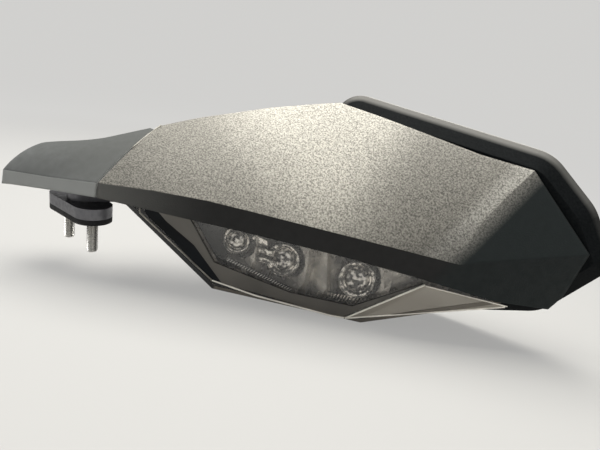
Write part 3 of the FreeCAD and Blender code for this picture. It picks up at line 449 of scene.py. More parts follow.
RIM_BLACK, tree, shader = new_material("rim_black", (0.007, 0.008, 0.009), 0.72, Specular_IOR_Level=0.05)
strip_start = Vector(RIM_REAR_PLACE) - Vector(REARWARD) * RIM_STRIP
strip = beyond_plane(tree, strip_start, REARWARD, RIM_STRIP_SOFTNESS)
strip = multiply(tree, ramp(tree, facing(tree, UP), 0.30, 0.90, grey(0.0), grey(1.0)), strip)
above = near_plane(tree, (0.0, 0.0, RIM_STRIP_FLOOR), UP, -RIM_FLOOR_SOFTNESS, RIM_FLOOR_SOFTNESS)
strip = multiply(tree, strip, above)
skin = clouds(tree, 900.0, (0.004, 0.005, 0.006), (0.009, 0.0105, 0.011))
tree.links.new(blend_colours(tree, strip, skin, RIM_STRIP_TONE), shader.inputs["Base Color"])
soft_grain(tree, shader, noise(tree, 1500.0, 2.0), 0.3, 0.00005, PLASTIC_EDGE_RADIUS)
assign(["rim"], RIM_BLACK)
print("rim strip begins", RIM_STRIP * 1000, "mm ahead of the rear plane")

# %% [markdown]
# ## Metals
#
# The foot and the stay are die-cast, with a faintly pebbled skin. The studs and the pin are
# zinc plated. The ribs of the reflector are plastic with a bright coat, so they are a
# little less than fully metallic. The glass is a plain mirror.

# %% Metals
def metal(name, colour, roughness, grains, depth, metallic=1.0):
    """Metal with a faint skin."""
    material, tree, shader = new_material(name, colour, roughness, Metallic=metallic)
    vary_roughness(tree, shader, grains, roughness * 0.75, roughness * 1.3)
    bump(tree, shader, noise(tree, grains * 3.0, 2.0), 0.3, depth)
    return material


DIE_CAST = metal("die_cast", (0.16, 0.16, 0.17), 0.45, 500.0, 0.00006)
STEEL = metal("steel", (0.62, 0.61, 0.58), 0.3, 700.0, 0.00003)
BRIGHT = metal("metallised", (0.62, 0.59, 0.55), 0.18, 500.0, 0.00012, 0.85)
MIRROR = metal("mirror", (0.86, 0.88, 0.90), 0.02, 40.0, 0.0)
assign(["mount_foot", "stay"], DIE_CAST)
assign(["stud_inner", "stud_outer", "hinge_pin"], STEEL)
assign(["mirror_glass"], MIRROR)
print("metals:", DIE_CAST.name, STEEL.name, BRIGHT.name, MIRROR.name)

# %% [markdown]
# ## Where the lens is
#
# The main face of the lens is a plane that leans back to the outside. Its pieces are placed
# by X and Z in millimetres and by how far behind the face they lie. The outer face of the
# lens meets it in a crease that climbs from the lens's lowest corner to the band.

# %% Lens plane and crease
LENS_CORNER = (40.3, 5.9, 11.0)
LENS_RISE_X = 0.6445
LENS_RISE_Z = -0.277
LENS_NORMAL = Vector((LENS_RISE_X, -1.0, LENS_RISE_Z)).normalized()
CREASE_LOW = Vector((0.1350, 0.0784, -0.0306))
CREASE_HIGH = Vector((0.1689, 0.0919, -0.0001))
CREASE_SIDE = (CREASE_HIGH - CREASE_LOW).cross(LENS_NORMAL).normalized()
if CREASE_SIDE.x < 0:
    CREASE_SIDE = -CREASE_SIDE


def behind_lens(x, z, depth):
    """A point in metres, behind the main face of the lens, from millimetres."""
    y = LENS_CORNER[1] + LENS_RISE_X * (x - LENS_CORNER[0]) + LENS_RISE_Z * (z - LENS_CORNER[2])
    return Vector((x, y + depth, z)) / 1000.0


print("lens normal:", rounded(LENS_NORMAL), "crease side:", rounded(CREASE_SIDE))

# %% [markdown]
# ## Reflector and its surround
#
# One moulding makes the bright bowls and the smooth bronze surround in front of them. The
# surround is what lies in the moulding's front plane, and the outer wing, beyond the
# crease, has the same finish, a little paler. All that is deeper is metallised. Two planes
# part the three finishes, so the moulding needs no second material.

# %% Reflector and surround
SURROUND_DEPTH = 4.3
SURROUND_SOFTNESS = 0.0001
CREASE_SOFTNESS = 0.0008
WING_TONE = (0.30, 0.275, 0.235)

REFLECTOR, tree, shader = new_material("reflector_skin", (0.50, 0.475, 0.44), 0.25, Metallic=0.6)
front = beyond_plane(tree, behind_lens(100.0, 0.0, SURROUND_DEPTH), LENS_NORMAL, SURROUND_SOFTNESS)
wing = beyond_plane(tree, CREASE_LOW, CREASE_SIDE, CREASE_SOFTNESS)
surround = clouds(tree, 60.0, (0.105, 0.094, 0.078), (0.145, 0.130, 0.110))
deep_noise = noise(tree, 110.0, 1.0)
deep = ramp(tree, deep_noise, 0.35, 0.65, (0.24, 0.228, 0.21), (0.50, 0.478, 0.44))
colour = blend_colours(tree, front, deep, surround)
colour = blend_colours(tree, wing, colour, WING_TONE)
tree.links.new(colour, shader.inputs["Base Color"])
vary_roughness(tree, shader, 300.0, 0.20, 0.34)
soft_grain(tree, shader, noise(tree, 300.0, 1.0), 0.15, 0.0001, 0.0004)
assign(["reflector"], REFLECTOR)
print("surround down to", SURROUND_DEPTH, "mm behind the lens face")

# %% [markdown]
# ## Lens trim
#
# The trim frames the lens. Its lower lip carries on the bronze surround, and its inner end
# and its outside are gloss black. A plane through its lowest inner corner parts the two,
# and only faces that are turned the same way as the lens take the bronze.

# %% Lens trim
TRIM_CORNER = Vector((0.0755, 0.0366, -0.0200))
TRIM_PARTING = Vector((0.86, 0.42, -0.28)).normalized()
TRIM_SOFTNESS = 0.0008

TRIM, tree, shader = new_material("lens_trim", (0.006, 0.006, 0.007), 0.2)
lip = ramp(tree, facing(tree, LENS_NORMAL), 0.90, 0.97, grey(0.0), grey(1.0))
lip = multiply(tree, lip, beyond_plane(tree, TRIM_CORNER, TRIM_PARTING, TRIM_SOFTNESS))
bronze = clouds(tree, 70.0, (0.135, 0.120, 0.098), (0.175, 0.157, 0.130))
black = clouds(tree, 90.0, (0.004, 0.004, 0.005), (0.007, 0.008, 0.009))
tree.links.new(blend_colours(tree, lip, black, bronze), shader.inputs["Base Color"])
soft_grain(tree, shader, noise(tree, 600.0), 0.2, 0.00002, 0.0005)
assign(["lens_trim"], TRIM)
print("trim parted at", rounded(TRIM_CORNER, 4))

# %% [markdown]
# ## Clear plastics
#
# The lens is a clear cover, and the lamps behind it are clear bulbs. Real plastic bends
# light more than this lens does here, but a strong bend would shift the lamps from where
# they show. So the lens bends light very little, and a clear coat gives it the gloss.

# %% Lens and lamps
CLEAR, clear_tree, clear_shader = new_material(
    "clear", (0.97, 0.96, 0.94), 0.0, Transmission_Weight=1.0, IOR=1.03,
    Coat_Weight=1.0, Coat_Roughness=0.02, Coat_IOR=1.5)
bump(clear_tree, clear_shader, noise(clear_tree, 40.0), 0.03, 0.00003)
LAMP_CLEAR, lamp_tree, lamp_shader = new_material(
    "lamp_clear", (0.94, 0.93, 0.91), 0.05, Transmission_Weight=0.85, IOR=1.2,
    Coat_Weight=1.0, Coat_Roughness=0.03)
bump(lamp_tree, lamp_shader, noise(lamp_tree, 900.0), 0.2, 0.00005)
assign(["signal_lens"], CLEAR)
assign(["lamp_1", "lamp_2", "lamp_3"], LAMP_CLEAR)
print("clear plastics:", CLEAR.name, LAMP_CLEAR.name)

# %% [markdown]
# ## Pieces that ride on the frame
#
# Small parts of the lamp unit are too fine for the imported solids, so they are added here.
# Each is one mesh made from points and rides on the body that carries it. The functions
# below return points and faces, so that several small shapes can be joined into one piece
# before a mesh is made.

# %% Add a piece
def add_piece(name, points, faces, material, body, smooth=False):
    """A mesh piece that rides on a body."""
    mesh = bpy.data.meshes.new(name)
    mesh.from_pydata([tuple(p) for p in points], [], faces)
    mesh.validate()
    piece_mesh = bmesh.new()
    piece_mesh.from_mesh(mesh)
    bmesh.ops.recalc_face_normals(piece_mesh, faces=piece_mesh.faces)
    piece_mesh.to_mesh(mesh)
    piece_mesh.free()
    if smooth:
        mesh.shade_smooth()
    mesh.materials.append(material)
    piece = bpy.data.objects.new(name, mesh)
    bpy.context.scene.collection.objects.link(piece)
    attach(piece, body)
    return piece


def joined(meshes):
    """Points and faces of several small meshes as one."""
    points, faces = [], []
    for some_points, some_faces in meshes:
        shift = len(points)
        points.extend(some_points)
        faces.extend([tuple(i + shift for i in face) for face in some_faces])
    return points, faces


def add_row(name, meshes, material):
    """One piece on the housing from several small meshes."""
    points, faces = joined(meshes)
    return add_piece(name, points, faces, material, "housing")


print("pieces can be added")

# %% [markdown]
# ## Beads, plates and turned shapes
#
# Three kinds of small mesh are enough. A bead is a round bar that follows a path. A plate
# is a flat outline with a thickness. A turned shape is a profile of radius and height that
# goes round an axis, as on a lathe.

# %% Bead, plate and turned meshes
BEAD_SIDES = 8
BEAD_TILT = Vector((0.2, -0.3, 0.93))
AXIS_HIT = 1e-6


def on_circle(middle, side, across, radius, turn):
    """The point of a circle at a turn in radians."""
    return middle + (side * math.cos(turn) + across * math.sin(turn)) * radius


def tube_faces(rings, sides):
    """Faces of a closed tube with so many rings of points."""
    faces = []
    for ring in range(rings - 1):
        for k in range(sides):
            a = ring * sides + k
            b = ring * sides + (k + 1) % sides
            faces.append((a, b, b + sides, a + sides))
    faces.append(tuple(range(sides)))
    faces.append(tuple(range((rings - 1) * sides, rings * sides)))
    return faces


def add_bead(name, path, radius, material):
    """A round bead along a path on the housing, with closed ends."""
    points = []
    for i, place in enumerate(path):
        before = path[max(i - 1, 0)]
        after = path[min(i + 1, len(path) - 1)]
        heading = (after - before).normalized()
        side = heading.cross(BEAD_TILT).normalized()
        across = heading.cross(side).normalized()
        for k in range(BEAD_SIDES):
            points.append(on_circle(place, side, across, radius, 2 * math.pi * k / BEAD_SIDES))
    faces = tube_faces(len(path), BEAD_SIDES)
    return add_piece(name, points, faces, material, "housing", smooth=True)


def plate_mesh(corners, thickness, normal):
    """Points and faces of a flat plate, given by its front corners."""
    count = len(corners)
    back = [c - Vector(normal) * thickness for c in corners]
    faces = [tuple(range(count)), tuple(range(count, 2 * count))]
    for i in range(count):
        j = (i + 1) % count
        faces.append((i, j, j + count, i + count))
    return list(corners) + back, faces


def turned_mesh(profile, centre, axis, turns):
    """Points and faces of a profile of radius and height turned round an axis."""
    axis = Vector(axis).normalized()
    side = axis.cross(Vector(UP)).normalized()
    across = axis.cross(side)
    points = []
    rings = []
    for radius, height in profile:
        middle = centre + axis * height
        if radius < AXIS_HIT:
            rings.append([len(points)])
            points.append(middle)
            continue
        rings.append(list(range(len(points), len(points) + turns)))
        for k in range(turns):
            points.append(on_circle(middle, side, across, radius, 2 * math.pi * k / turns))
    faces = []
    for lower_ring, upper_ring in zip(rings, rings[1:]):
        for k in range(turns):
            n = (k + 1) % turns
            if len(lower_ring) == 1:
                faces.append((lower_ring[0], upper_ring[k], upper_ring[n]))
            elif len(upper_ring) == 1:
                faces.append((lower_ring[k], lower_ring[n], upper_ring[0]))
            else:
                faces.append((lower_ring[k], lower_ring[n], upper_ring[n], upper_ring[k]))
    return points, faces


print("bead sides:", BEAD_SIDES)

# %% [markdown]
# ## Facets of a lamp's dome
#
# Inside each lamp's ring stands a low cap of cut glass. A smooth cap would show one
# highlight. Here every second ring of points is turned by half a step and raised a little,
# so neighbouring facets catch different light, as in the real optic.

# %% Dome of flat facets
DOME_RINGS = 4
DOME_SECTORS = 10
DOME_RIDGE = 0.0003
DOME_WALL = 0.0006


def dome_points(radius, height, centre, axis):
    """The tip, the rings and the foot of a low cap."""
    side = axis.cross(Vector(UP)).normalized()
    across = axis.cross(side)
    points = [centre + axis * height]
    for ring in range(1, DOME_RINGS + 1):
        share = ring / DOME_RINGS
        rise = height * (1 - share ** 2) + (DOME_RIDGE if ring % 2 else 0.0)
        for k in range(DOME_SECTORS):
            turn = 2 * math.pi * (k + 0.5 * (ring % 2)) / DOME_SECTORS
            outward = side * math.cos(turn) + across * math.sin(turn)
            points.append(centre + axis * rise + outward * radius * share)
    rim_start = 1 + (DOME_RINGS - 1) * DOME_SECTORS
    for k in range(DOME_SECTORS):
        points.append(points[rim_start + k] - axis * DOME_WALL)
    return points


def dome_faces():
    """Triangles of the cap, its short wall and its flat foot."""
    rim_start = 1 + (DOME_RINGS - 1) * DOME_SECTORS
    base = rim_start + DOME_SECTORS
    faces = [(0, 1 + k, 1 + (k + 1) % DOME_SECTORS) for k in range(DOME_SECTORS)]
    for ring in range(DOME_RINGS - 1):
        for k in range(DOME_SECTORS):
            n = (k + 1) % DOME_SECTORS
            a, b = 1 + ring * DOME_SECTORS + k, 1 + ring * DOME_SECTORS + n
            c, d = a + DOME_SECTORS, b + DOME_SECTORS
            if ring % 2:
                faces.extend([(a, b, c), (b, d, c)])
            else:
                faces.extend([(a, b, d), (a, d, c)])
    for k in range(DOME_SECTORS):
        n = (k + 1) % DOME_SECTORS
        faces.append((rim_start + k, rim_start + n, base + n, base + k))
    faces.append(tuple(range(base, base + DOME_SECTORS)))
    return faces


print("facets of a dome:", len(dome_faces()))

# %% [markdown]
# ## Lamp rings and domes
#
# Each of the three lamps shows a stepped bright ring with the dome inside it. The ring is
# turned from a profile, whose pairs are a share of the lamp's radius and a height in
# millimetres. The noise in both finishes has a narrow ramp, so that patches of pale and dark
# colour stand for the glints and reflections of a cut optic: painted reflections, where an
# even metal would look like a washer.

# %% Lamp rings and domes
LAMP_AXIS = Vector((0.50, -0.85, 0.15)).normalized()
LAMP_PLACES = (
    ("1", Vector((0.0805, 0.0429, 0.0034)), 7.3),
    ("2", Vector((0.1017, 0.0586, -0.0038)), 9.0),
    ("3", Vector((0.1358, 0.0817, -0.0081)), 10.2),
)
RING_STEPS = (
    (1.00, -5.0), (1.00, -0.5), (0.985, 0.0), (0.955, 0.1), (0.94, -0.3), (0.93, -1.8),
    (0.82, -1.9), (0.81, -0.9), (0.785, -0.7), (0.77, -1.2), (0.75, -3.2),
    (0.69, -3.3), (0.68, -2.3), (0.655, -2.2), (0.64, -2.8), (0.63, -5.0),
)
RING_TURNS = 56
DOME_SHARE = 0.66
DOME_HEIGHT = 0.0022
DOME_SINK = 0.0028
GLINT_LOW = 0.44
GLINT_HIGH = 0.60

CUT_GLASS, tree, shader = new_material("cut_glass", (0.80, 0.78, 0.74), 0.06, Metallic=0.55, Coat_Weight=1.0)
# Pale and dark patches in the colour are painted glints and reflections.
facet_painted_glints = ramp(tree, noise(tree, 420.0, 1.0), GLINT_LOW, GLINT_HIGH,
                  (0.03, 0.028, 0.026), (0.78, 0.75, 0.70))
tree.links.new(facet_painted_glints, shader.inputs["Base Color"])
LAMP_METAL, tree, shader = new_material("lamp_metal", (0.5, 0.48, 0.45), 0.16, Metallic=0.9)
ring_painted_glints = ramp(tree, noise(tree, 330.0, 3.0, 0.7), GLINT_LOW, GLINT_HIGH,
                 (0.06, 0.057, 0.053), (0.80, 0.77, 0.72))
tree.links.new(ring_painted_glints, shader.inputs["Base Color"])
bump(tree, shader, noise(tree, 700.0), 0.3, 0.0001)
for lamp, place, radius in LAMP_PLACES:
    size = radius / 1000.0
    profile = [(share * size, height / 1000.0) for share, height in RING_STEPS]
    points, faces = turned_mesh(profile, place, LAMP_AXIS, RING_TURNS)
    add_piece("lamp_ring_" + lamp, points, faces, LAMP_METAL, "housing")
    points = dome_points(size * DOME_SHARE, DOME_HEIGHT, place - LAMP_AXIS * DOME_SINK, LAMP_AXIS)
    add_piece("lamp_dome_" + lamp, points, dome_faces(), CUT_GLASS, "housing")
print("lamp rings:", [radius for _, _, radius in LAMP_PLACES], "mm")

# %% [markdown]
# ## Knurl round each lamp
#
# Outside its ring each lamp has a crown of short radial teeth, which scatters stray light.
# They are small roof-shaped prisms set round the ring, all in one mesh. An array modifier
# could repeat one tooth, but a loop leaves a plain mesh and nothing to apply.

# %% Knurl
KNURL_TEETH = 40
KNURL_INNER_GAP = 0.0002
KNURL_OUTER_GAP = 0.0013
KNURL_INNER_DROP = 0.0016
KNURL_OUTER_DROP = 0.0022
TOOTH_HALF_WIDTH = 0.00028
KNURL_HEIGHT = 0.0004


def roof_prism(start, end, half_width, height, sideways, normal):
    """Points and faces of a roof-shaped rib from start to end."""
    points = []
    for place in (start, end):
        points.extend([place - sideways * half_width, place + sideways * half_width,
                       place + normal * height])
    return points, [(0, 1, 2), (3, 4, 5), (0, 1, 4, 3), (1, 2, 5, 4), (2, 0, 3, 5)]


lamp_side = LAMP_AXIS.cross(Vector(UP)).normalized()
lamp_across = LAMP_AXIS.cross(lamp_side)
for lamp, place, radius in LAMP_PLACES:
    size = radius / 1000.0
    crown = []
    for k in range(KNURL_TEETH):
        turn = 2 * math.pi * k / KNURL_TEETH
        outward = lamp_side * math.cos(turn) + lamp_across * math.sin(turn)
        round_about = lamp_across * math.cos(turn) - lamp_side * math.sin(turn)
        inner = place + outward * (size + KNURL_INNER_GAP) - LAMP_AXIS * KNURL_INNER_DROP
        outer = place + outward * (size + KNURL_OUTER_GAP) - LAMP_AXIS * KNURL_OUTER_DROP
        crown.append(roof_prism(inner, outer, TOOTH_HALF_WIDTH, KNURL_HEIGHT, round_about, LAMP_AXIS))
    add_row("lamp_knurl_" + lamp, crown, LAMP_METAL)
print("knurl teeth to a lamp:", KNURL_TEETH)

# %% [markdown]
# ## Teeth under the lamps
#
# Along the slope of the window the reflector carries a row of fine pale teeth. Each tooth
# is a small roof-shaped prism laid in a row. A thin dark plate lies under them as painted
# shade between the teeth, because pale teeth on a pale ground would not show.

# %% Teeth and their bed
TOOTH_COUNT = 26
TOOTH_LENGTH = 1.9
TOOTH_DEPTH = 3.0
TOOTH_HEIGHT = 0.0005
TOOTH_REACH = 0.9
TOOTH_LEAN = 0.35
BED_WIDTH = 0.0021
BED_DROP = 0.0001
THIN_PLATE = 0.0003

TOOTH_METAL, _, _ = mottled("tooth_metal", (0.9, 0.88, 0.83), 0.3, grains=200.0,
                            dark=(0.60, 0.58, 0.54), pale=(0.95, 0.93, 0.88))
# The bed is painted shade: a dark plate that stands for the shade between the teeth.
BED_SHADE, _, _ = mottled("tooth_bed", (0.012, 0.011, 0.010), 0.5, grains=200.0,
                          dark=(0.008, 0.0075, 0.007), pale=(0.018, 0.017, 0.016))
tooth_start = behind_lens(78.9, -7.8, TOOTH_DEPTH)
tooth_end = behind_lens(107.9, -20.4, TOOTH_DEPTH)
row_heading = (tooth_end - tooth_start).normalized()
row_across = row_heading.cross(LENS_NORMAL).normalized()
if row_across.z < 0:
    row_across = -row_across
teeth = []
for i in range(TOOTH_COUNT):
    foot = tooth_start.lerp(tooth_end, (i + 0.5) / TOOTH_COUNT)
    head = foot + (row_across * TOOTH_REACH + row_heading * TOOTH_LEAN) * TOOTH_LENGTH / 1000.0
    teeth.append(roof_prism(foot, head, TOOTH_HALF_WIDTH, TOOTH_HEIGHT, row_heading, LENS_NORMAL))
add_row("reflector_teeth", teeth, TOOTH_METAL)
bed = [tooth_start, tooth_end, tooth_end + row_across * BED_WIDTH, tooth_start + row_across * BED_WIDTH]
points, faces = plate_mesh([c - LENS_NORMAL * BED_DROP for c in bed], THIN_PLATE, LENS_NORMAL)
add_piece("tooth_bed", points, faces, BED_SHADE, "housing")
print("teeth:", TOOTH_COUNT)

# %% [markdown]
# ## Ribs, ledges and the outer end wall
#
# Slanted ribs stand under the third lamp, and between the first two lamps the reflector
# steps down in short ledges. The ribs are the same prisms as the teeth, only larger, and
# the ledges are plates. One more plate closes the reflector's outer end, where light would
# otherwise come in from behind.

# %% Ribs, ledges and end wall
RIB_COUNT = 16
RIB_RISE = Vector((1.6, 1.0, 4.4)) / 1000.0
RIB_DEPTH = 4.0
RIB_HALF_WIDTH = 0.00055
RIB_HEIGHT = 0.0007
LEDGES = ((88.6, 5.0, 6.6, 3.4, 8.5), (90.0, -0.6, 8.0, 3.2, 7.2), (90.8, -6.0, 9.6, 3.0, 6.0))
LEDGE_FALL = 1.6
THICK_PLATE = 0.0012
END_WALL = (Vector((0.1475, 0.0836, 0.0090)), Vector((0.1704, 0.0992, 0.0059)),
            Vector((0.1680, 0.1006, -0.0047)), Vector((0.1491, 0.0919, -0.0174)))

rib_start = behind_lens(118.2, -22.4, RIB_DEPTH)
rib_end = behind_lens(142.5, -21.3, RIB_DEPTH)
rib_heading = (rib_end - rib_start).normalized()
ribs = []
for i in range(RIB_COUNT):
    foot = rib_start.lerp(rib_end, (i + 0.5) / RIB_COUNT)
    ribs.append(roof_prism(foot, foot + RIB_RISE, RIB_HALF_WIDTH, RIB_HEIGHT, rib_heading, LENS_NORMAL))
add_row("reflector_ribs", ribs, BRIGHT)
ledges = []
for x, z, length, height, depth in LEDGES:
    corners = [behind_lens(x, z, depth), behind_lens(x + length, z - LEDGE_FALL, depth),
               behind_lens(x + length, z - LEDGE_FALL + height, depth), behind_lens(x, z + height, depth)]
    ledges.append(plate_mesh(corners, THICK_PLATE, LENS_NORMAL))
add_row("reflector_ledges", ledges, LAMP_METAL)
points, faces = plate_mesh(END_WALL, THICK_PLATE, LENS_NORMAL)
add_piece("reflector_end_wall", points, faces, REFLECTOR, "housing")
print("ribs:", RIB_COUNT, "ledges:", len(LEDGES))

# %% [markdown]
# ## Back of the lamp unit
#
# A real lamp unit is closed at the back. A thin black shell in a few bent panels is laid
# behind the bowls, between them and the ball that carries the glass. It stops most of the
# light, though not all: a small gap beside it can be seen when the mirror is folded. Each
# row gives X, the depth behind the lens face and the height of the lower edge.

# %% Back shell of the lamp unit
BACK_STATIONS = (
    (57.0, 12.0, -2.0), (80.0, 20.0, -20.0), (105.0, 25.5, -24.0), (130.0, 25.0, -25.0),
    (150.0, 21.0, -18.0), (164.0, 13.0, -6.0),
)
BACK_TOP = 15.0
BACK_THICKNESS = 0.0008

back_points, back_faces = [], []
for x, depth, bottom in BACK_STATIONS:
    back_points.append(behind_lens(x, bottom, depth))
    back_points.append(behind_lens(x, BACK_TOP, depth))
front_count = len(back_points)
back_points.extend([p - LENS_NORMAL * BACK_THICKNESS for p in back_points])
for i in range(0, front_count - 2, 2):
    for shift in (0, front_count):
        back_faces.append((i + shift, i + 1 + shift, i + 3 + shift, i + 2 + shift))
    back_faces.append((i, i + 2, i + 2 + front_count, i + front_count))
    back_faces.append((i + 1, i + 3, i + 3 + front_count, i + 1 + front_count))
for i in (0, front_count - 2):
    back_faces.append((i, i + 1, i + 1 + front_count, i + front_count))
add_piece("lamp_unit_back", back_points, back_faces, SATIN, "housing")
print("back panels:", len(BACK_STATIONS) - 1)

# %% [markdown]
# ## Bright edges of the lens
#
# Light runs inside the clear plastic and leaves at its cut edges, which therefore show as
# bright lines: down the inner end, along the bottom, up the crease, and under the band. To
# trace that light would take very many samples, so thin beads with a faint glow stand for
# it. A dark bead follows the outline of the clear window.

# %% Lines along the edges
PATH_STEPS = 8
LINE_STEPS = 10
LINE_LIFT = 0.0001
EDGE_DEPTH = -0.15
WINDOW_DEPTH = -0.16
WING_LOW = Vector((0.2037, 0.1170, -0.0052))
BAND_START = Vector((0.1695, 0.0921, -0.0006))
BAND_END = Vector((0.2046, 0.1175, -0.0048))
END_LINE = ((44.9, 15.2), (44.5, 12.6), (72.9, -21.5))
BOTTOM_LINE = ((72.9, -21.5), (92.7, -26.4), (128.2, -30.6), (134.6, -30.5))
WINDOW_CORNERS = ((67.3, 13.6), (75.0, -9.4), (109.4, -20.1), (138.0, -21.6), (168.0, 0.4))


def lens_path(corners, depth):
    """A path behind the lens face through corners given by X and Z."""
    path = []
    for (x0, z0), (x1, z1) in zip(corners, corners[1:]):
        for i in range(PATH_STEPS):
            share = i / PATH_STEPS
            path.append(behind_lens(x0 + (x1 - x0) * share, z0 + (z1 - z0) * share, depth))
    path.append(behind_lens(*corners[-1], depth))
    return path


def straight_path(start, end, lift):
    """Even places from start to end, lifted off the lens face."""
    return [start.lerp(end, i / LINE_STEPS) + LENS_NORMAL * lift for i in range(LINE_STEPS + 1)]


EDGE_GLOW, _, shader = mottled("lens_edge", (0.56, 0.53, 0.47), 0.35, grains=130.0,
                               dark=(0.55, 0.52, 0.46), pale=(0.92, 0.88, 0.80), Emission_Strength=0.16)
shader.inputs["Emission Color"].default_value = (1.0, 0.95, 0.84, 1.0)
EDGE_DIM, _, _ = mottled("lens_edge_dim", (0.15, 0.14, 0.125), 0.35, grains=130.0,
                         dark=(0.16, 0.15, 0.13), pale=(0.46, 0.43, 0.38))
WINDOW_LINE, _, _ = mottled("window_line", (0.02, 0.019, 0.018), 0.5, grains=150.0,
                            dark=(0.014, 0.013, 0.012), pale=(0.03, 0.028, 0.026))
LENS_LINES = (
    ("lens_crease_edge", straight_path(CREASE_LOW, CREASE_HIGH, LINE_LIFT), 0.00048, EDGE_GLOW, "clear"),
    ("lens_wing_edge", straight_path(CREASE_LOW, WING_LOW, LINE_LIFT), 0.00045, EDGE_GLOW, "clear"),
    ("lens_band_edge", straight_path(BAND_START, BAND_END, 0.0), 0.00028, EDGE_GLOW, "clear"),
    ("lens_end_edge", lens_path(END_LINE, EDGE_DEPTH), 0.00042, EDGE_DIM, "clear"),
    ("lens_bottom_edge", lens_path(BOTTOM_LINE, EDGE_DEPTH), 0.00045, EDGE_GLOW, "clear"),
    ("window_outline", lens_path(WINDOW_CORNERS, WINDOW_DEPTH), 0.00024, WINDOW_LINE, "metallised"),
)
for name, path, radius, material, slot in LENS_LINES:
    add_bead(name, path, radius, material)
print("lines along the lens:", len(LENS_LINES))

# %% [markdown]
# ## Coats on the lens
#
# The real lens is coated round its clear window: a bronze border frames the window, and the
# wing beyond the crease has a paler bronze. At the inner end, where the lens bends back into
# the shell, a dark strip is painted shade along the lens's thick edge. Each is a thin plate
# that lies on the lens face, so that its outline is sharp, which a mask on the clear plastic
# would not give.

# %% Painted shade strip, bronze border and wing
SKIN_DEPTH = -0.08
WING_LIFT = 0.0001
COAT_GRAINS = 900.0
COAT_GRAIN_DEPTH = 0.00001
SHADE_STRIP_CORNERS = (
    (47.2, 15.0), (52.9, 15.1), (55.8, 10.4), (66.8, -1.0), (77.5, -22.5), (73.3, -21.9),
    (46.8, 12.9),
)
BORDER_CORNERS = (
    (52.9, 15.1), (67.3, 13.6), (75.0, -9.4), (109.4, -20.1), (138.0, -21.6), (168.5, 0.7),
    (166.9, -0.5), (135.4, -28.7), (128.4, -29.6), (93.3, -24.7), (77.5, -22.5), (66.8, -1.0),
    (55.8, 10.4),
)
WING_CORNERS = [CREASE_LOW, WING_LOW, Vector((0.2046, 0.1175, -0.0046)), CREASE_HIGH]
WING_NORMAL = (WING_CORNERS[1] - CREASE_LOW).cross(CREASE_HIGH - CREASE_LOW).normalized()
if WING_NORMAL.y > 0:
    WING_NORMAL = -WING_NORMAL


def add_coat(name, corners, normal, material):
    """A thin plate on the housing, given by its front corners."""
    points, faces = plate_mesh(corners, THIN_PLATE, normal)
    return add_piece(name, points, faces, material, "housing")


def on_lens(corners):
    """Corners given by X and Z, just in front of the lens face."""
    return [behind_lens(x, z, SKIN_DEPTH) for x, z in corners]


# The dark strip is painted shade along the lens's thick inner edge.
SHADE_STRIP_BLACK, _, _ = mottled("edge_shade_black", (0.003, 0.004, 0.006), 0.4, grains=80.0,
                            dark=(0.002, 0.003, 0.004), pale=(0.006, 0.008, 0.011),
                            Specular_IOR_Level=0.1)
add_coat("lens_edge_shade", on_lens(SHADE_STRIP_CORNERS), LENS_NORMAL, SHADE_STRIP_BLACK)
BRONZE, tree, shader = mottled("bronze_coat", (0.080, 0.072, 0.060), 0.32, grains=45.0,
                               dark=(0.060, 0.054, 0.044), pale=(0.105, 0.095, 0.080), detail=1.0,
                               Coat_Weight=0.4, Coat_Roughness=0.05)
bump(tree, shader, noise(tree, COAT_GRAINS), 0.1, COAT_GRAIN_DEPTH)
add_coat("lens_border", on_lens(BORDER_CORNERS), LENS_NORMAL, BRONZE)
WING_COAT, tree, shader = mottled("wing_coat", WING_TONE, 0.35, grains=35.0,
                                  dark=(0.25, 0.228, 0.192), pale=(0.36, 0.33, 0.282), detail=1.0,
                                  Coat_Weight=0.3, Coat_Roughness=0.08)
bump(tree, shader, noise(tree, COAT_GRAINS), 0.1, COAT_GRAIN_DEPTH)
wing_corners = [c + WING_NORMAL * WING_LIFT for c in WING_CORNERS]
add_coat("lens_wing", wing_corners, WING_NORMAL, WING_COAT)
print("coats:", SHADE_STRIP_BLACK.name, BRONZE.name, WING_COAT.name)

# %% [markdown]
# ## Threads of the two studs
#
# The studs carry an M6 thread, and plain rods would look unfinished. The thread is one
# grid of points round the rod, whose radius follows the height and the turn together, so
# that its crest climbs one pitch for each turn. It stands for the stud's shank and keeps
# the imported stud's outer radius, and the smooth collar above it is turned from a profile.
# The collar's axis leans by a hair, because a direction square to it is worked out from
# the upright.

# %% Threaded studs
THREAD_PITCH = 0.0010
THREAD_RADIUS = 0.0030
THREAD_DEPTH = 0.0006
THREAD_SIDES = 30
THREAD_STEPS_TO_PITCH = 8
LEAD_IN = 0.0012
COLLAR_RADIUS = 0.0036
COLLAR_TOP_RADIUS = 0.0033
COLLAR_CHAMFER = 0.0004
COLLAR_AXIS = Vector((1e-6, 0.0, 1.0))


def thread_radius(height, bottom, top, turn):
    """Radius of the thread at a height and a turn from 0 to 1."""
    share = (height / THREAD_PITCH - turn) % 1.0
    radius = THREAD_RADIUS - THREAD_DEPTH * abs(2.0 * share - 1.0)
    lead = min((height - bottom) / LEAD_IN, (top - height) / LEAD_IN, 1.0)
    return min(radius, THREAD_RADIUS - THREAD_DEPTH * (1.0 - max(lead, 0.0)))


def thread_mesh(middle, bottom, top):
    """Points and faces of a thread round an upright axis."""
    levels = int(round((top - bottom) / THREAD_PITCH * THREAD_STEPS_TO_PITCH))
    points = []
    for step in range(levels + 1):
        height = bottom + (top - bottom) * step / levels
        for k in range(THREAD_SIDES):
            turn = k / THREAD_SIDES
            radius = thread_radius(height, bottom, top, turn)
            points.append(Vector((middle.x + radius * math.cos(2 * math.pi * turn),
                                  middle.y + radius * math.sin(2 * math.pi * turn), height)))
    return points, tube_faces(levels + 1, THREAD_SIDES)


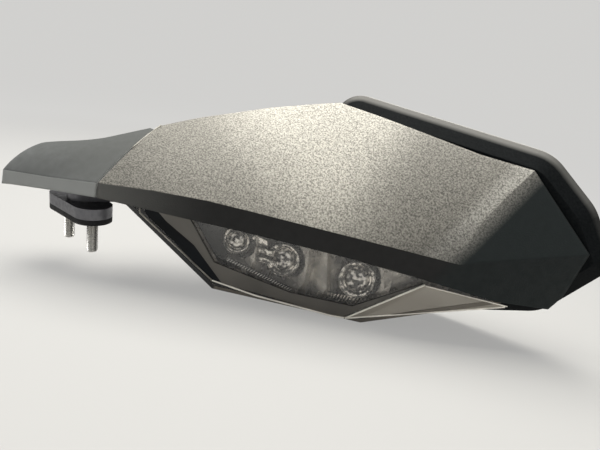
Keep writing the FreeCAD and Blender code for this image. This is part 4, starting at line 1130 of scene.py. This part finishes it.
def collar_profile(start, end):
    """Radius and height of the collar, from the thread's end to the stud's top."""
    return [(0.0, start), (THREAD_RADIUS, start), (COLLAR_RADIUS, start + COLLAR_CHAMFER),
            (COLLAR_RADIUS, end - COLLAR_CHAMFER), (COLLAR_TOP_RADIUS, end), (0.0, end)]


for stud in ("stud_inner", "stud_outer"):
    low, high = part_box(stud)
    middle = (Vector(low) + Vector(high)) / 2
    bottom, top = low[2], 0.0
    shank = thread_mesh(middle, bottom, top)
    profile = collar_profile(top - bottom, high[2] - bottom)
    collar = turned_mesh(profile, Vector((middle.x, middle.y, bottom)), COLLAR_AXIS, THREAD_SIDES)
    points, faces = joined([shank, collar])
    thread = add_piece(stud + "_thread", points, faces, STEEL, "arm")
    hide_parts(stud)
print("studs threaded with a pitch of", THREAD_PITCH * 1000, "mm")

# %% [markdown]
# ## The seam between arm and housing
#
# The housing's end edge is a little proud of the arm along the upper half of the seam, and
# catches the light as a thin pale line that follows the curved joint. Three places on the
# joint are known, and an even curve through them gives the path of a thin bead.

# %% Pale edge along the seam
SEAM_PLACES = (
    Vector((0.0221, 0.0166, 0.0411)), Vector((0.0188, 0.0277, 0.0472)), Vector((0.0165, 0.0380, 0.0527)),
)
SEAM_STEPS = 12
SEAM_LIFT = Vector((-0.25, -0.55, 0.80)).normalized() * 0.0003
SEAM_RADIUS = 0.00034


def curve_through(first, middle, last, share):
    """A place on the even curve through three places, for a share from 0 to 1."""
    bend = middle * 4 - first - last
    return first * (1 - share) ** 2 + bend * (share * (1 - share)) + last * share ** 2


SEAM_EDGE, _, _ = mottled("seam_edge", (0.42, 0.41, 0.36), 0.5, grains=300.0,
                          dark=(0.28, 0.27, 0.24), pale=(0.55, 0.53, 0.47))
seam_path = [curve_through(*SEAM_PLACES, i / SEAM_STEPS) + SEAM_LIFT for i in range(SEAM_STEPS + 1)]
add_bead("seam_edge", seam_path, SEAM_RADIUS, SEAM_EDGE)
print("seam edge from", rounded(seam_path[0], 4), "to", rounded(seam_path[-1], 4))

# %% [markdown]
# ## Floor of the studio
#
# A pale floor curves up all round into a wall, like a shallow bowl, so it has no edge
# from any side. A flat plane would show its horizon. The bowl is a profile turned round the
# upright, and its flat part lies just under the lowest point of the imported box.

# %% Floor that curves into a wall
FLOOR_HEIGHT = -0.0327
FLOOR_RADIUS = 1.4
CURVE_RADIUS = 0.8
CURVE_STEPS = 12
WALL_TOP = 1.6
TURNS = 96

profile = [(FLOOR_RADIUS, FLOOR_HEIGHT)]
for step in range(1, CURVE_STEPS + 1):
    angle = math.radians(90.0 * step / CURVE_STEPS)
    profile.append((FLOOR_RADIUS + CURVE_RADIUS * math.sin(angle),
                    FLOOR_HEIGHT + CURVE_RADIUS * (1.0 - math.cos(angle))))
profile.append((FLOOR_RADIUS + CURVE_RADIUS, WALL_TOP))
vertices = [(0.0, 0.0, FLOOR_HEIGHT)]
for radius, height in profile:
    for turn in range(TURNS):
        angle = 2 * math.pi * turn / TURNS
        vertices.append((radius * math.cos(angle), radius * math.sin(angle), height))
faces = [(0, 1 + turn, 1 + (turn + 1) % TURNS) for turn in range(TURNS)]
for ring in range(len(profile) - 1):
    for turn in range(TURNS):
        a = 1 + ring * TURNS + turn
        b = 1 + ring * TURNS + (turn + 1) % TURNS
        faces.append((a, a + TURNS, b + TURNS, b))
floor_mesh = bpy.data.meshes.new("floor")
floor_mesh.from_pydata(vertices, [], faces)
floor_mesh.shade_smooth()
floor = bpy.data.objects.new("floor", floor_mesh)
bpy.context.scene.collection.objects.link(floor)
print("floor faces:", len(faces))

# %% [markdown]
# ## Paint of the floor
#
# Plain paint would turn white under the lamp and dark at the wall. So rays from the camera,
# and those that come by way of gloss or clear plastic, see a share of an even glow in its
# place. The share is smaller close to the mirror, where the paint has to show the shadow,
# and larger farther out, where the background should be even.

# %% Paint with an even glow
FLOOR_COLOUR = (0.47, 0.467, 0.457)
FLOOR_SEEN = (0.68, 0.675, 0.66)
NEAR_SHARE = 0.5
FAR_SHARE = 0.92
NEAR_REACH = 0.25
FAR_REACH = 0.75


def combine(tree, operation, first, second):
    """A maths node on two sockets."""
    node = tree.nodes.new("ShaderNodeMath")
    node.operation = operation
    tree.links.new(first, node.inputs[0])
    tree.links.new(second, node.inputs[1])
    return node.outputs["Value"]


FLOOR_PAINT, tree, shader = new_material("floor_paint", FLOOR_COLOUR, 0.8)
rays = tree.nodes.new("ShaderNodeLightPath").outputs
glow = tree.nodes.new("ShaderNodeEmission")
glow.inputs["Color"].default_value = (*FLOOR_SEEN, 1.0)
distance = tree.nodes.new("ShaderNodeVectorMath")
distance.operation = "LENGTH"
tree.links.new(object_coordinates(tree), distance.inputs[0])
glow_share = share_between(tree, distance.outputs["Value"], NEAR_REACH, FAR_REACH,
                           low=NEAR_SHARE, high=FAR_SHARE)
seen = combine(tree, "MAXIMUM", rays["Is Camera Ray"], rays["Is Glossy Ray"])
seen = combine(tree, "MAXIMUM", seen, rays["Is Transmission Ray"])
either = tree.nodes.new("ShaderNodeMixShader")
tree.links.new(combine(tree, "MULTIPLY", seen, glow_share), either.inputs["Fac"])
tree.links.new(shader.outputs["BSDF"], either.inputs[1])
tree.links.new(glow.outputs["Emission"], either.inputs[2])
tree.links.new(either.outputs["Shader"], tree.nodes["Material Output"].inputs["Surface"])
floor_mesh.materials.append(FLOOR_PAINT)
print("glow share:", NEAR_SHARE, "near the mirror and", FAR_SHARE, "far from it")

# %% [markdown]
# ## Light
#
# A large warm soft box hangs over the mirror, a little behind it, and gives the top its
# sheen. A weaker one stands at the arm's side and fills the shadows. A small lamp would
# throw hard shadows and a spot on the glass. The world adds an even, slightly cool light.

# %% Soft boxes and world
WORLD_COLOUR = (0.85, 0.88, 0.92, 1.0)
WORLD_STRENGTH = 0.45


def soft_box(name, place, target, width, watts, colour=(1.0, 1.0, 1.0)):
    """A square area light that looks at a target."""
    data = bpy.data.lights.new(name, "AREA")
    data.shape = "RECTANGLE"
    data.size = width
    data.size_y = width
    data.energy = watts
    data.color = colour
    light = bpy.data.objects.new(name, data)
    bpy.context.scene.collection.objects.link(light)
    light.location = place
    direction = Vector(target) - Vector(place)
    light.rotation_mode = "QUATERNION"
    light.rotation_quaternion = direction.to_track_quat("-Z", "Y")
    return light


soft_box("soft_box_above", place=(0.02, 0.16, 0.62), target=(0.10, 0.07, 0.02),
         width=0.55, watts=9.0, colour=(1.0, 0.97, 0.90))
soft_box("soft_box_left", place=(-0.55, -0.25, 0.35), target=(0.05, 0.02, 0.02),
         width=0.4, watts=2.0)
world = bpy.data.worlds.new("world")
bpy.context.scene.world = world
world.use_nodes = True
background = world.node_tree.nodes["Background"]
background.inputs["Color"].default_value = WORLD_COLOUR
background.inputs["Strength"].default_value = WORLD_STRENGTH
bpy.context.scene.view_settings.view_transform = "Standard"
